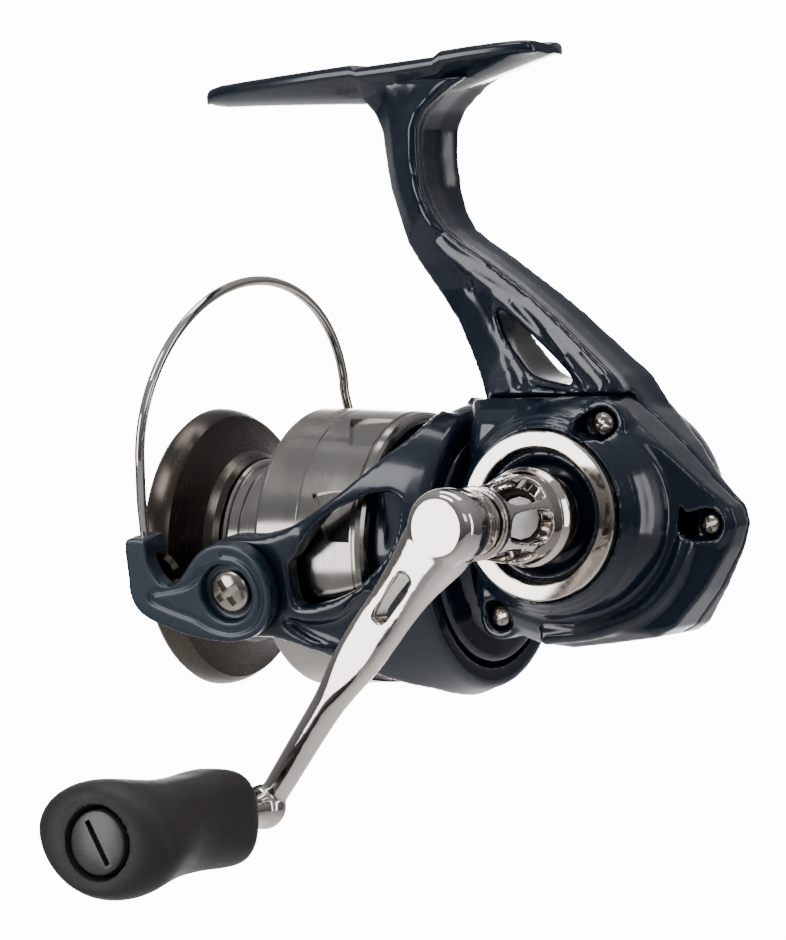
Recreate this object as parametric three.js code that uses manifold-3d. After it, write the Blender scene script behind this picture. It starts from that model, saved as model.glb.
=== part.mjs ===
// A small front-drag spinning reel as an assembly of its real pieces.
//
// Design frame, millimetres: X runs along the main shaft towards the spool, Y along the drive shaft
// towards the handle, Z towards the rod foot. x = 0 is the rear edge of the spool's front lip and the
// main shaft lies on y = z = 0. The exported group moves all of it so that the origin is the middle of
// the foot's clamping face.
import * as THREE from "three";
import { mergeVertices } from "three/addons/utils/BufferGeometryUtils.js";
import Module from "manifold-3d";

const wasm = await Module();
wasm.setup();

// Driving dimensions.
const GAP = 0.3;
const ROUND = 28;
const SMALL_ROUND = 12;

const FOOT_TILT = THREE.MathUtils.degToRad(3.6);
const FOOT_POINT = { x: -33.3, z: 70.8 };
const FOOT_FRONT = 35.4;
const FOOT_REAR = 23;
const FOOT_HALF_WIDTH = 6.2;
const FOOT_RECESS = 7;

const STEM_HALF_WIDTH = 6.8;
const CASE_TOP = 21.9;
const CASE_HALF_WIDTH = 12.5;
const CASE_WALL = 2.2;
const PARTING_Y = 1;
const FLANGE_R = 17;
const FLANGE_X = -44.6;
const NOSE_X = -39.5;

const DRIVE_X = -60.7;
const DRIVE_Z = 5.3;
const DRIVE_SHAFT_R = 3;
const BOSS_R = 15.5;
const BOSS_FACE_Y = 16;
const RING_OUTER_R = 11.97;
const RING_INNER_R = 9.55;
const BEARING_R = 5.8;
const BEARING_Y = 8.6;
const BEARING_WIDTH = 3;

const GEAR_TEETH = 36;
const PINION_TEETH = 7;
const GEAR_R = 12.4;
const PINION_R = 4;
const MAIN_SHAFT_R = 1.9;
const SPUR_R = 4.3;
const OSCILLATION_R = 6;
const OSCILLATION_X = -70.4;
const OSCILLATION_Z = 0;

const ROTOR_TURN = THREE.MathUtils.degToRad(-10.8);
const ROTOR_R = 20.9;
const ROTOR_REAR = -44.2;
const ROTOR_CORE_R = 17.3;
const PIVOT_X = -14.5;
const ARM_INNER_R = 21.5;
const ARM_OUTER_Y = 24.3;
const BAIL_INNER_Y = 24.6;
const BAIL_OUTER_Y = 27.2;
const SCREW_SEAT_Y = 25.6;

const LIP_R = 20.85;
const LIP_FRONT = 3.2;
const ARBOR_R = 12.6;
const SKIRT_FRONT = -15.5;
const SKIRT_FRONT_R = 20.57;
const SKIRT_SEAM = -31.85;
const SKIRT_SEAM_R = 19.85;
const SKIRT_REAR = -33.5;
const SKIRT_REAR_R = 18.97;
const SKIRT_BORE_R = 18.2;

const HEAD_Y = 41;
const ARM_ANGLE = THREE.MathUtils.degToRad(-51.2);
const ARM_LENGTH = 50;
const ARM_ARCH = 2;
const CROSS_PIN_Y = 37.5;
const KNOB_START = 49;
const KNOB_FACE = 82.5;

// Finishes.
const finish = (color, roughness, metalness) => new THREE.MeshStandardMaterial({ color, roughness, metalness });
const NAVY = finish(0x141d2b, 0.22, 0.2);
const SATIN_NAVY = finish(0x2c3a4a, 0.42, 0.35);
const NICKEL = finish(0xcfc8c0, 0.12, 1);
const STEEL = finish(0xb9b4ae, 0.25, 1);
const BRASS = finish(0xb49a56, 0.35, 1);
const GUNMETAL = finish(0x56524e, 0.3, 0.9);
const ALUMINIUM = finish(0xa5a29e, 0.25, 1);
const RUBBER = finish(0x37332f, 0.85, 0);
const FELT = finish(0x6b645c, 0.95, 0);

// A closed geometry, whichever way its faces were listed, as a solid that can be joined and cut.
function solid(geometry) {
  const bare = geometry.clone();
  bare.deleteAttribute("normal");
  bare.deleteAttribute("uv");
  const merged = mergeVertices(bare.index ? bare.toNonIndexed() : bare, 1e-4);
  const faces = [];
  for (let i = 0; i < merged.index.count; i += 3) {
    const [a, b, c] = merged.index.array.slice(i, i + 3);
    if (a !== b && b !== c && c !== a) faces.push(a, b, c);
  }
  const vertProperties = new Float32Array(merged.attributes.position.array);
  const build = (triVerts) => new wasm.Manifold(new wasm.Mesh({ numProp: 3, vertProperties, triVerts }));
  const made = build(new Uint32Array(faces));
  return made.volume() > 0 ? made : build(new Uint32Array(faces.reverse()));
}

function geometryOf(made) {
  const mesh = made.getMesh();
  const geometry = new THREE.BufferGeometry();
  geometry.setAttribute("position", new THREE.BufferAttribute(new Float32Array(mesh.vertProperties), 3));
  geometry.setIndex(new THREE.BufferAttribute(new Uint32Array(mesh.triVerts), 1));
  geometry.computeVertexNormals();
  return geometry;
}

// A turned piece about X. The profile lists [x, radius] and is closed back to its first point.
function turnedX(profile, sides = ROUND) {
  const points = profile.map(([x, r]) => new THREE.Vector2(r, x));
  const closed = profile[0][1] > 0 || profile.at(-1)[1] > 0;
  if (closed) points.push(points[0].clone());
  return solid(new THREE.LatheGeometry(points, sides).rotateZ(-Math.PI / 2));
}

// A turned piece about an axis along Y through [x, z]. The profile lists [y, radius].
function turnedY(profile, x = DRIVE_X, z = DRIVE_Z, sides = ROUND) {
  const points = profile.map(([y, r]) => new THREE.Vector2(r, y));
  const closed = profile[0][1] > 0 || profile.at(-1)[1] > 0;
  if (closed) points.push(points[0].clone());
  return solid(new THREE.LatheGeometry(points, sides).translate(x, 0, z));
}

const rodX = (x0, x1, r, sides = SMALL_ROUND) => turnedX([[x0, 0], [x0, r], [x1, r], [x1, 0]], sides);
const rodY = (y0, y1, r, x, z, sides = SMALL_ROUND) =>
  turnedY([[y0, 0], [y0, r], [y1, r], [y1, 0]], x, z, sides);
const ringX = (x0, x1, inner, outer, sides = ROUND) =>
  turnedX([[x0, inner], [x0, outer], [x1, outer], [x1, inner]], sides);
const ringY = (y0, y1, inner, outer, x = DRIVE_X, z = DRIVE_Z, sides = ROUND) =>
  turnedY([[y0, inner], [y0, outer], [y1, outer], [y1, inner]], x, z, sides);

const outline = (points) => new THREE.Shape(points.map(([a, b]) => new THREE.Vector2(a, b)));
const smooth = (points, steps) =>
  new THREE.SplineCurve(points.map(([a, b]) => new THREE.Vector2(a, b))).getPoints(steps).map((p) => [p.x, p.y]);

// A plate with an outline in X and Z, from y0 to y1, its edges chamfered by bevel.
function plateXZ(points, from, to, bevel = 0) {
  const [y0, y1] = [Math.min(from, to), Math.max(from, to)];
  const geometry = new THREE.ExtrudeGeometry(outline(points), {
    depth: y1 - y0 - 2 * bevel,
    bevelEnabled: bevel > 0,
    bevelThickness: bevel,
    bevelSize: bevel,
    bevelOffset: -bevel,
    bevelSegments: 1,
    curveSegments: 8,
  });
  return solid(geometry.rotateX(Math.PI / 2).translate(0, y1 - bevel, 0));
}

// A plate with an outline in X and Y, from z0 to z1.
function plateXY(points, z0, z1) {
  const geometry = new THREE.ExtrudeGeometry(outline(points), { depth: z1 - z0, bevelEnabled: false });
  return solid(geometry.translate(0, 0, z0));
}

// A round bar along a smooth curve through points.
function bar(points, radius, steps = 24, sides = 10) {
  const path = new THREE.CatmullRomCurve3(points.map(([x, y, z]) => new THREE.Vector3(x, y, z)));
  const section = new THREE.Shape();
  section.absarc(0, 0, radius, 0, 2 * Math.PI, false);
  const settings = { extrudePath: path, steps, curveSegments: sides / 2, bevelEnabled: false };
  return solid(new THREE.ExtrudeGeometry(section, settings));
}

function blob(radius, x, y, z, scale = [1, 1, 1]) {
  const geometry = new THREE.SphereGeometry(radius, SMALL_ROUND, 12);
  return solid(geometry.scale(...scale).translate(x, y, z));
}

// A toothed wheel blank about X, from x0 to x1, bored through.
function toothedX(x0, x1, teeth, root, tip, bore) {
  const points = [];
  for (let i = 0; i < teeth; i++) {
    const pitch = (2 * Math.PI) / teeth;
    for (const [share, r] of [[0, root], [0.5, root], [0.6, tip], [0.9, tip]]) {
      const angle = (i + share) * pitch;
      points.push([r * Math.cos(angle), r * Math.sin(angle)]);
    }
  }
  const geometry = new THREE.ExtrudeGeometry(outline(points), { depth: x1 - x0, bevelEnabled: false });
  const wheel = solid(geometry.rotateY(Math.PI / 2).translate(x0, 0, 0));
  return wheel.subtract(rodX(x0 - 1, x1 + 1, bore));
}

function toothedY(y0, y1, teeth, root, tip, bore, x, z) {
  const wheel = toothedX(y0, y1, teeth, root, tip, bore).rotate([0, 0, 90]);
  return wheel.translate([x, 0, z]);
}

// Frame: rod foot, stem and the far half of the gear case in one casting.
const STEM_FRONT = [
  [-27.5, 66], [-28.6, 61.3], [-29, 57], [-29.7, 52.5], [-30.9, 48.8], [-32.4, 44.3],
  [-34.2, 41.5], [-37.2, 37.5], [-40.3, 33.3], [-42.7, 28.8], [-45, 24.3], [-46.2, CASE_TOP],
];
const STEM_REAR = [
  [-69, CASE_TOP + 0.8], [-55.6, 35.2], [-52, 38.2], [-46, 42.4], [-40.8, 45.6], [-38.4, 48],
  [-37.3, 51.5], [-36.6, 56], [-36.5, 61], [-37.4, 64.5], [-41, 68],
];
const STEM_WINDOW = [[-48.4, 34.7], [-48.9, 30.9], [-51.6, 27.3], [-54, 24.8], [-60.6, 23.9], [-54.6, 30]];
const CASE_OUTLINE = [
  [-45.2, 17.5], [-46.2, CASE_TOP], [-69, CASE_TOP], [-72.5, 19.2], [-77, 15], [-81, 9.6],
  [-83.7, 5.6], [-84.2, 3.2], [-83.2, 0], [-80, -6], [-76.5, -11], [-74.5, -12.4],
  [-67.5, -13.3], [-61, -14], [-56, -13.4], [-48, -11], [-45.2, -9],
];
const CASE_HOLLOW = [
  [-46.2, 17.2], [-48, 19.2], [-67.5, 19.2], [-71, 16.5], [-76, 10.5], [-79.8, 4],
  [-77.8, -5], [-75.2, -9.8], [-66, -10.8], [-57, -11], [-49, -8.8], [-46.2, -7.6],
];

// The gear case in plan, narrowing to the tail.
function casePlan(inset) {
  const half = [
    [-40, CASE_HALF_WIDTH], [-64, CASE_HALF_WIDTH], [-74, 9.7], [-80, 7.1], [-84.8 + inset, 5.2],
  ].map(([x, y]) => [x, y - inset]);
  return [...half, ...half.map(([x, y]) => [x, -y]).reverse()];
}

function foot() {
  const top = [[FOOT_FRONT - 0.5, 0.2], [FOOT_RECESS + 0.6, 0.5], [FOOT_RECESS, 0], [-FOOT_RECESS, 0]];
  const rear = [[-FOOT_RECESS - 0.6, 0.5], [3.8 - FOOT_REAR, 0.5], [-FOOT_REAR, -0.5], [-FOOT_REAR, -1.6]];
  const under = [[-15, -3], [-9.5, -4.6], [-4, -6], [4.5, -6], [10, -4.9], [20, -4.1], [FOOT_FRONT, -2]];
  const side = plateXZ([...top, ...rear, ...under], -FOOT_HALF_WIDTH, FOOT_HALF_WIDTH, 0.5);
  const tip = new THREE.Shape();
  tip.absarc(FOOT_FRONT - 4.2, 0, 4.2, -Math.PI / 2, Math.PI / 2, false);
  tip.lineTo(FOOT_RECESS, FOOT_HALF_WIDTH);
  tip.lineTo(1.5 - FOOT_REAR, FOOT_HALF_WIDTH);
  tip.lineTo(-FOOT_REAR, FOOT_HALF_WIDTH - 2);
  tip.lineTo(-FOOT_REAR, 2 - FOOT_HALF_WIDTH);
  tip.lineTo(1.5 - FOOT_REAR, -FOOT_HALF_WIDTH);
  tip.lineTo(FOOT_RECESS, -FOOT_HALF_WIDTH);
  const settings = { depth: 20, bevelEnabled: false, curveSegments: 10 };
  const plan = solid(new THREE.ExtrudeGeometry(tip, settings).translate(0, 0, -15));
  const degrees = THREE.MathUtils.radToDeg(FOOT_TILT);
  return side.intersect(plan).rotate([0, degrees, 0]).translate([FOOT_POINT.x, 0, FOOT_POINT.z]);
}

function stem() {
  const edge = [...smooth(STEM_FRONT, 16), [-46.2, 20], [-67, 20], ...STEM_REAR];
  const web = plateXZ(edge, -STEM_HALF_WIDTH, STEM_HALF_WIDTH, 2);
  const overPlate = plateXZ([[-30, 0], [-30, CASE_TOP], [-90, CASE_TOP], [-90, 0]], PARTING_Y, 30);
  return web.subtract(overPlate).subtract(plateXZ(STEM_WINDOW, -20, 20));
}

// The gear case between two planes, hollow, without its bosses.
function caseShell(y0, y1) {
  const plan = plateXY(casePlan(0), -30, 40);
  const hollowPlan = plateXY(casePlan(CASE_WALL), -30, 40);
  const slab = plateXZ([[-30, -30], [-30, 40], [-100, 40], [-100, -30]], y0, y1);
  const full = plateXZ(CASE_OUTLINE, -CASE_HALF_WIDTH, CASE_HALF_WIDTH, 1.5).intersect(plan);
  const hollow = plateXZ(CASE_HOLLOW, 0.5 - BEARING_Y, BEARING_Y - 0.5).intersect(hollowPlan);
  return full.intersect(slab).subtract(hollow);
}

// Drive shaft boss on one side: a stepped dish with a bearing seat behind it.
function boss(side) {
  const steps = [
    [8, 0], [8, BOSS_R], [12.6, BOSS_R], [13.8, 14.6], [14, 13.8], [15.2, 13.2], [BOSS_FACE_Y, 12.6],
    [BOSS_FACE_Y, RING_OUTER_R + GAP], [15, RING_OUTER_R + GAP], [15, RING_INNER_R - GAP],
    [15.6, RING_INNER_R - GAP], [15.6, 9], [14, 8.2], [13.2, 7.4], [13.2, 0],
  ];
  return turnedY(steps.map(([y, r]) => [side * y, r]));
}

function bearingSeat(side) {
  const reach = BEARING_Y + BEARING_WIDTH + 0.1;
  const seat = rodY(side * (BEARING_Y - 1.5), side * reach, BEARING_R + 0.1, DRIVE_X, DRIVE_Z, ROUND);
  return seat.add(rodY(side * (reach - 1), side * 20, 4.4, DRIVE_X, DRIVE_Z, ROUND));
}

const SCREWS = [
  { name: "side_plate_screw_upper", x: -68.4, z: 17.9, y: 10.4, r: 1.75, pocket: 2.4 },
  { name: "side_plate_screw_rear", x: -80.2, z: 3.5, y: 5.2, r: 1.6, pocket: 2.3 },
  { name: "side_plate_screw_front", x: -50.4, z: -9.4, y: 9.2, r: 1.6, pocket: 2.2 },
];

function bodyFrame() {
  const half = caseShell(-CASE_HALF_WIDTH, PARTING_Y);
  const flange = ringX(FLANGE_X, NOSE_X, 6.9, FLANGE_R).add(ringX(-46.6, FLANGE_X + 1, 6.9, 12.4));
  const nose = flange.add(ringX(-41, -33.4, 9.3, 11));
  const post = rodY(-9, -4, 1.1, OSCILLATION_X, OSCILLATION_Z);
  const backPlan = plateXY(casePlan(0), -30, 40);
  let frame = half.add(post.intersect(backPlan)).add(boss(-1)).subtract(bearingSeat(-1));
  frame = frame.add(nose).subtract(rodX(-50, -30, 6.9, ROUND));
  for (const screw of SCREWS) {
    const stub = rodY(-6, PARTING_Y, 2.3, screw.x, screw.z).intersect(backPlan);
    frame = frame.add(stub).subtract(rodY(-4, 3, 1, screw.x, screw.z));
  }
  return frame.add(foot()).add(stem());
}

function sidePlate() {
  let plate = caseShell(PARTING_Y + 0.15, CASE_HALF_WIDTH);
  plate = plate.add(boss(1)).subtract(rodX(-47, -30, 13.2, ROUND)).subtract(bearingSeat(1));
  for (const screw of SCREWS) {
    const column = rodY(7.9, screw.y + 0.2, screw.r + 1.2, screw.x, screw.z);
    plate = plate.add(column).add(rodY(PARTING_Y + 0.15, 8, 1.7, screw.x, screw.z)).subtract(rodY(screw.y - 1, 25, screw.pocket, screw.x, screw.z));
    plate = plate.subtract(rodY(0, 20, 1.1, screw.x, screw.z));
  }
  const lid = plateXZ([[-30, CASE_TOP - 0.15], [-30, -30], [-90, -30], [-90, CASE_TOP - 0.15]], 0, 30);
  return largest(plate.intersect(lid));
}

// The biggest body of a solid, without chips that a cut left loose.
function largest(made) {
  return made.decompose().sort((a, b) => b.volume() - a.volume())[0];
}

function panScrew(x, y, z, r, length, side = 1) {
  const head = [[0, 0], [0, r * 0.55], [0.1, r], [0.7, r], [1.25, r * 0.7], [1.5, 0]];
  const shank = [[-length, 0], [-length, r * 0.42], [0, r * 0.42]];
  const profile = [...shank, ...head.slice(1)];
  const made = turnedY(profile.map(([a, b]) => [y + side * a, b]), x, z, SMALL_ROUND);
  const slot = plateXZ([[-0.3, -r], [0.3, -r], [0.3, r], [-0.3, r]], y + side * 0.95, y + side * 3);
  const cross = slot.add(slot.rotate([0, 90, 0])).intersect(rodY(y, y + side * 3, r * 0.62, 0, 0));
  return made.subtract(cross.translate([x, 0, z]));
}

// Drive train.
function driveGear() {
  const shaft = rodY(-13.4, 22, DRIVE_SHAFT_R, DRIVE_X, DRIVE_Z);
  const disc = rodY(5.6, 7.4, GEAR_R, DRIVE_X, DRIVE_Z, ROUND);
  const crown = toothedY(4.5, 5.8, GEAR_TEETH, GEAR_R - 0.9, GEAR_R, GEAR_R - 2.6, DRIVE_X, DRIVE_Z);
  const hub = rodY(4.9, 8, 4.6, DRIVE_X, DRIVE_Z);
  const spur = toothedY(-5.6, -4.1, 12, SPUR_R - 0.8, SPUR_R, 1, DRIVE_X, DRIVE_Z);
  return shaft.add(disc).add(crown).add(hub).add(spur);
}

function pinionGear() {
  const teeth = toothedX(-53.5, -46.8, PINION_TEETH, PINION_R - 0.9, PINION_R, MAIN_SHAFT_R + 0.2);
  return teeth.add(ringX(-47, -24.4, MAIN_SHAFT_R + 0.2, 3.1, SMALL_ROUND));
}

function oscillationGear() {
  const turn = { x: OSCILLATION_X, z: OSCILLATION_Z };
  const wheel = toothedY(-5.6, -4.2, 17, OSCILLATION_R - 0.8, OSCILLATION_R, 1.35, turn.x, turn.z);
  return wheel.add(rodY(-4.4, -3.3, 0.9, turn.x - 4, turn.z));
}

function oscillationSlider() {
  const block = plateXZ([[-76.3, -6], [-70.8, -6], [-70.8, 1.9], [-76.3, 1.9]], -2.9, 2.9, 0.4);
  const groove = plateXZ([[-74.6, -5.2], [-72.5, -5.2], [-72.5, 1.2], [-74.6, 1.2]], -4, -1.9);
  return block.subtract(groove).subtract(rodX(-80, -60, 1.55));
}

function mainShaft() {
  return turnedX([
    [-76.1, 0], [-76.1, 1.5], [-56, 1.5], [-55.6, MAIN_SHAFT_R], [5.6, MAIN_SHAFT_R], [6, 1.6], [6, 0],
  ], SMALL_ROUND);
}

// Rotor with its two arms, built with the arms along Y and turned to its rest angle by its group.
const ARM_OUTLINE = [
  [-14.5, 7.4], [-19, 7.2], [-25.2, 9], [-30.5, 12], [-35.5, 15.6], [-41, 19],
  [-41, -19], [-35.5, -15.6], [-30.5, -12], [-25.2, -9], [-19, -7.2], [-14.5, -7.4],
  [-10, -5.9], [-7.6, -2.8], [-7.1, 0], [-7.6, 2.8], [-10, 5.9],
];
const ARM_WINDOW = [[-24.5, 3.2], [-27, 6], [-36.2, 11.4], [-38.6, 9.6], [-36.5, 3], [-31, -2.4], [-25.4, -3]];

const POCKET_FLOOR_Y = 22;

const armEnvelope = (inset) => turnedX([
  [-41, 0], [-41, ROTOR_R + 0.6 - inset], [-36, 24 - inset], [-27, 26.6 - inset], [-5, 27.4 - inset], [-5, 0],
]);

function rotorArm(side) {
  const reach = (y) => side * y;
  const sheet = plateXZ(ARM_OUTLINE, reach(14), reach(30));
  const envelope = armEnvelope(0);
  const flat = plateXZ(FACE, -ARM_OUTER_Y, ARM_OUTER_Y);
  const window = plateXZ(ARM_WINDOW, side > 0 ? 0 : -POCKET_FLOOR_Y, reach(40));
  return sheet.intersect(envelope).intersect(flat).subtract(window);
}

const FACE = [[0, -30], [0, 30], [-50, 30], [-50, -30]];

// The cover that closes the bail spring's pocket in the far arm.
function springCover() {
  const grown = solid(new THREE.ExtrudeGeometry(outline(ARM_WINDOW), { depth: 30, bevelEnabled: true,
    bevelSize: -0.3, bevelThickness: 0, bevelSegments: 1 }).rotateX(Math.PI / 2));
  const skin = (inset) => armEnvelope(inset).intersect(plateXZ(FACE, inset - ARM_OUTER_Y, 0));
  const shell = skin(0.3).subtract(skin(0.8));
  const flat = plateXZ(FACE, -ARM_OUTER_Y, -POCKET_FLOOR_Y - 0.3);
  return largest(grown.intersect(shell).intersect(flat));
}

function rotor() {
  const cup = turnedX([
    [-31, 3.3], [-31, 15.2], [-38.6, 15.2], [-38.8, 17.5], [ROTOR_REAR, 17.6], [ROTOR_REAR, 20],
    [-43.6, 20.7], [-42, ROTOR_R], [-40.4, 20.7], [-37, 19.3], [-36.4, ROTOR_CORE_R], [-25, ROTOR_CORE_R],
    [-24.6, 16.6], [-24.6, 15.4], [-28.4, 15.4], [-28.4, 7], [-27.4, 6], [-27.4, 3.3],
  ]);
  const clearance = rodX(-36.4, 20, ARM_INNER_R, ROUND);
  const arms = rotorArm(1).add(rotorArm(-1)).subtract(clearance).subtract(rodX(-50, 20, 18.6, ROUND));
  const bore = rodY(-40, 40, 1.35, PIVOT_X, 0);
  return cup.add(arms).subtract(bore);
}

// Bail: near arm with its hook for the line roller, far lever and wire.
const BAIL_ARM_OUTLINE = [
  [-16.6, 7.1], [-13, 7], [-10.4, 5.6], [-8, 3.4], [-6.2, 1.6], [-4.4, 1], [-2.8, 2.2], [-1.7, 4.4],
  [-1.6, 7.7], [1.6, 7.9], [2, 6.6], [2.1, -1], [0.2, -3.6], [-4.4, -5.6], [-9, -6.8], [-14.5, -7.2],
  [-18.6, -6.1], [-21, -3.4], [-21.7, 0], [-21, 3.4], [-19.4, 5.6],
];
const LEVER_OUTLINE = [
  [-16.2, 5.6], [-12, 6.6], [-7.6, 10.6], [-5.8, 11], [-4.4, 9.6], [-6.6, 5.4], [-8.6, 0],
  [-10, -3.8], [-14.5, -5.8], [-18.6, -4.1], [-20.3, 0], [-19, 3.7],
];
const ROLLER_X = -0.2;
const ROLLER_Z = 1.6;

function bailArm() {
  const plate = plateXZ(BAIL_ARM_OUTLINE, BAIL_INNER_Y, BAIL_OUTER_Y, 0.5);
  const hook = plateXZ([[-1.6, 5.6], [-1.6, 7.7], [1.6, 7.9], [2, 5.6]], 21.9, 25.2);
  const recess = rodY(SCREW_SEAT_Y, 30, 4.4, PIVOT_X, 0, ROUND);
  const bores = rodY(20, 30, 1.5, PIVOT_X, 0).add(rodY(20, 25.7, 1.1, ROLLER_X, ROLLER_Z));
  const wireHole = bar([[0.4, 24, 5.9], [0.35, 24, 7], [0.3, 24, 9]], 1.1, 4, 8);
  return plate.add(hook).subtract(recess).subtract(bores).subtract(wireHole);
}

function bailLever() {
  const plate = plateXZ(LEVER_OUTLINE, -26.8, -BAIL_INNER_Y, 0.4);
  const bores = rodY(-30, -20, 1.5, PIVOT_X, 0).add(rodY(-30, -20, 1.25, -6.4, 9.2));
  return plate.subtract(bores).subtract(rodY(-SCREW_SEAT_Y, -30, 3.5, PIVOT_X, 0));
}

// The wire rises from the hook, arches over the spool and drops to the far lever.
function bailWire() {
  const rise = 17.6;
  const halfWidth = 24;
  const height = 22.3;
  const points = [[0.4, 24, 6.2], [0.2, 24, 12]];
  for (let i = 0; i <= 14; i++) {
    const angle = (Math.PI * i) / 14;
    const y = halfWidth * Math.cos(angle);
    const z = rise + height * Math.sin(angle);
    points.push([0.4 - 0.1 * (halfWidth - y) - 0.087 * (z - 7.6), y, z]);
  }
  points.push([-5, -27.2, 13], [-6.4, -28.4, 9.4]);
  const wire = bar(points, 0.8, 48, 8);
  return wire.add(rodY(-28.6, -25, 1, -6.4, 9.2)).add(blob(1.05, -6.4, -28.4, 9.2));
}

function lineRoller() {
  return turnedY([
    [21.6, 1.25], [21.6, 2.9], [22, 3.3], [22.8, 2.7], [23.2, 2.7], [23.3, 3.1], [23.4, 3.1], [23.4, 1.25],
  ], ROLLER_X, ROLLER_Z, 24);
}

const rollerScrew = () => rodY(21.4, 25.4, 0.95, ROLLER_X, ROLLER_Z);
function pivotScrew(side) {
  return panScrew(PIVOT_X, side * (SCREW_SEAT_Y + 0.1), 0, 3.1, 4, side);
}
function bailSpring() {
  const turns = 4;
  const points = [];
  for (let i = 0; i <= 8 * turns; i++) {
    const angle = (2 * Math.PI * i) / 8;
    points.push([(5 * i) / (8 * turns) - 30, 0.4 * Math.cos(angle), 0.4 * Math.sin(angle)]);
  }
  return bar(points, 0.14, 32, 4).translate([0, -22.75, 1]);
}

// Spool, drag stack and drag knob.
function spoolBody() {
  const arbor = [[-9.4, 2.3], [-9.4, 10.9], [-4.8, 10.9], [-4.8, ARBOR_R + 0.3], [-6, ARBOR_R]];
  const skirt = [
    [SKIRT_FRONT + 0.1, ARBOR_R], [SKIRT_FRONT, SKIRT_FRONT_R - 0.4], [SKIRT_FRONT - 0.4, SKIRT_FRONT_R],
    [SKIRT_SEAM + 0.3, SKIRT_SEAM_R], [SKIRT_SEAM, SKIRT_SEAM_R - 0.25], [SKIRT_SEAM - 0.3, SKIRT_SEAM_R],
    [SKIRT_REAR + 0.4, SKIRT_REAR_R + 0.5], [SKIRT_REAR, SKIRT_REAR_R], [SKIRT_REAR, SKIRT_BORE_R],
  ];
  const inside = [[-19, SKIRT_BORE_R + 0.4], [-18, 17.6], [-18, 6], [-22, 6], [-22, 2.3]];
  return turnedX([...arbor, ...skirt, ...inside], 36);
}
function spoolFlange() {
  return turnedX([
    [-4.6, 11], [-4.6, 13.4], [-3.4, 14], [-2.6, 14.4], [0, 19.6], [1.2, 20.6], [LIP_FRONT, LIP_R],
    [4.2, 20], [4, 18.4], [2.6, 12.6], [2.6, 11],
  ], 36);
}
const DRAG_STACK = [
  { name: "drag_felt_1", x: -9.2, width: 0.9, material: FELT },
  { name: "drag_washer_keyed", x: -8.1, width: 0.5, material: STEEL },
  { name: "drag_felt_2", x: -7.4, width: 0.9, material: FELT },
  { name: "drag_washer_eared", x: -6.3, width: 0.5, material: STEEL },
  { name: "drag_felt_3", x: -5.6, width: 0.9, material: FELT },
];
function dragKnob() {
  const knob = turnedX([
    [-3.4, 2.1], [-3.4, 10.2], [2.4, 10.2], [2.9, 11.9], [4.6, 12.3], [6.2, 11.6], [7, 9.5], [7, 0],
    [6.4, 0], [6.4, 2.1],
  ]);
  const grip = plateXY([[6, -2], [9.6, -1.5], [9.6, 1.5], [6, 2]], -10.6, 10.6);
  const round = turnedX([[6, 0], [6, 10.9], [8.2, 9.8], [9.4, 7.6], [9.6, 0]]);
  return knob.add(grip.intersect(round));
}

// Handle: hub sleeve with windows, folding arm, spindle and knob.
const SLEEVE_WINDOW = [
  [-1.2, 24.5], [1.2, 24.5], [2, 26.2], [1.8, 30.8], [1, 32.9], [-1, 32.9], [-1.8, 30.8], [-2, 26.2],
];

function hubSleeve() {
  const cone = turnedY([
    [14.6, 3.2], [14.6, 6.2], [18.4, 6.4], [19.2, 7], [20.6, 7], [21.2, 6.6], [34, 4.9], [35, 5.2],
    [35, 4], [22.6, 4.2], [22.6, 3.2],
  ]);
  let sleeve = cone;
  for (let i = 0; i < 6; i++) {
    const window = plateXY(SLEEVE_WINDOW, 4.2, 12);
    sleeve = sleeve.subtract(window.rotate([0, 60 * i + 20, 0]).translate([DRIVE_X, 0, DRIVE_Z]));
  }
  return sleeve;
}
const ARM_DEGREES = THREE.MathUtils.radToDeg(ARM_ANGLE);

// The arm is drawn along +X from the fold head and then swung down to its rest angle.
const placeArm = (made) => made.rotate([0, -ARM_DEGREES, 0]).translate([DRIVE_X, 0, DRIVE_Z]);
const archAt = (share) => HEAD_Y + ARM_ARCH * Math.sin(Math.PI * share);

function handleArm() {
  const crown = turnedY([
    [35.3, 0], [35.3, 4.3], [37, 4.6], [39, 5.1], [41, 5.3], [43.5, 4.9], [45.4, 4], [46, 3.4], [46, 0],
  ], 0, 0, 28);
  const blade = plateXY([
    [0, HEAD_Y + 3], [8, archAt(0.16) + 2.2], [28, archAt(0.56) + 1.8], [28, archAt(0.56) - 1.9],
    [8, archAt(0.16) - 2.6], [3, HEAD_Y - 3.4], [0, HEAD_Y - 4],
  ], -5, 5);
  const taper = plateXZ([[-2, -4.2], [8, -3.6], [22, -3.4], [28, -2.3], [28, 2.3], [22, 3.4], [8, 3.6], [-2, 4.2]], 30, 55);
  const shares = [0.5, 0.62, 0.74, 0.86, 1];
  const path = shares.map((s) => [ARM_LENGTH * s, archAt(s) - (s > 0.9 ? 0 : 0.2), 0]);
  const rod = bar(path, 2.1, 14, 10);
  const ball = blob(3.2, ARM_LENGTH, HEAD_Y, 0);
  const slot = plateXZ([[9.5, -1.2], [16.5, -1], [16.5, 1], [9.5, 1.2]], 30, 60);
  const spindle = rodY(HEAD_Y, KNOB_START - 0.6, 2.3, ARM_LENGTH, 0);
  const whole = crown.add(blade.intersect(taper)).add(rod).add(ball).add(spindle);
  const pinBore = rodY(-12, 12, 1.05, 0, 0).rotate([90, 0, 0]).translate([0, CROSS_PIN_Y, 0]);
  return placeArm(whole.subtract(slot).subtract(pinBore));
}
const crossPin = () =>
  placeArm(rodY(-5.6, 5.6, 0.9, 0, 0).rotate([90, 0, 0]).translate([0, CROSS_PIN_Y, 0]));

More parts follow.
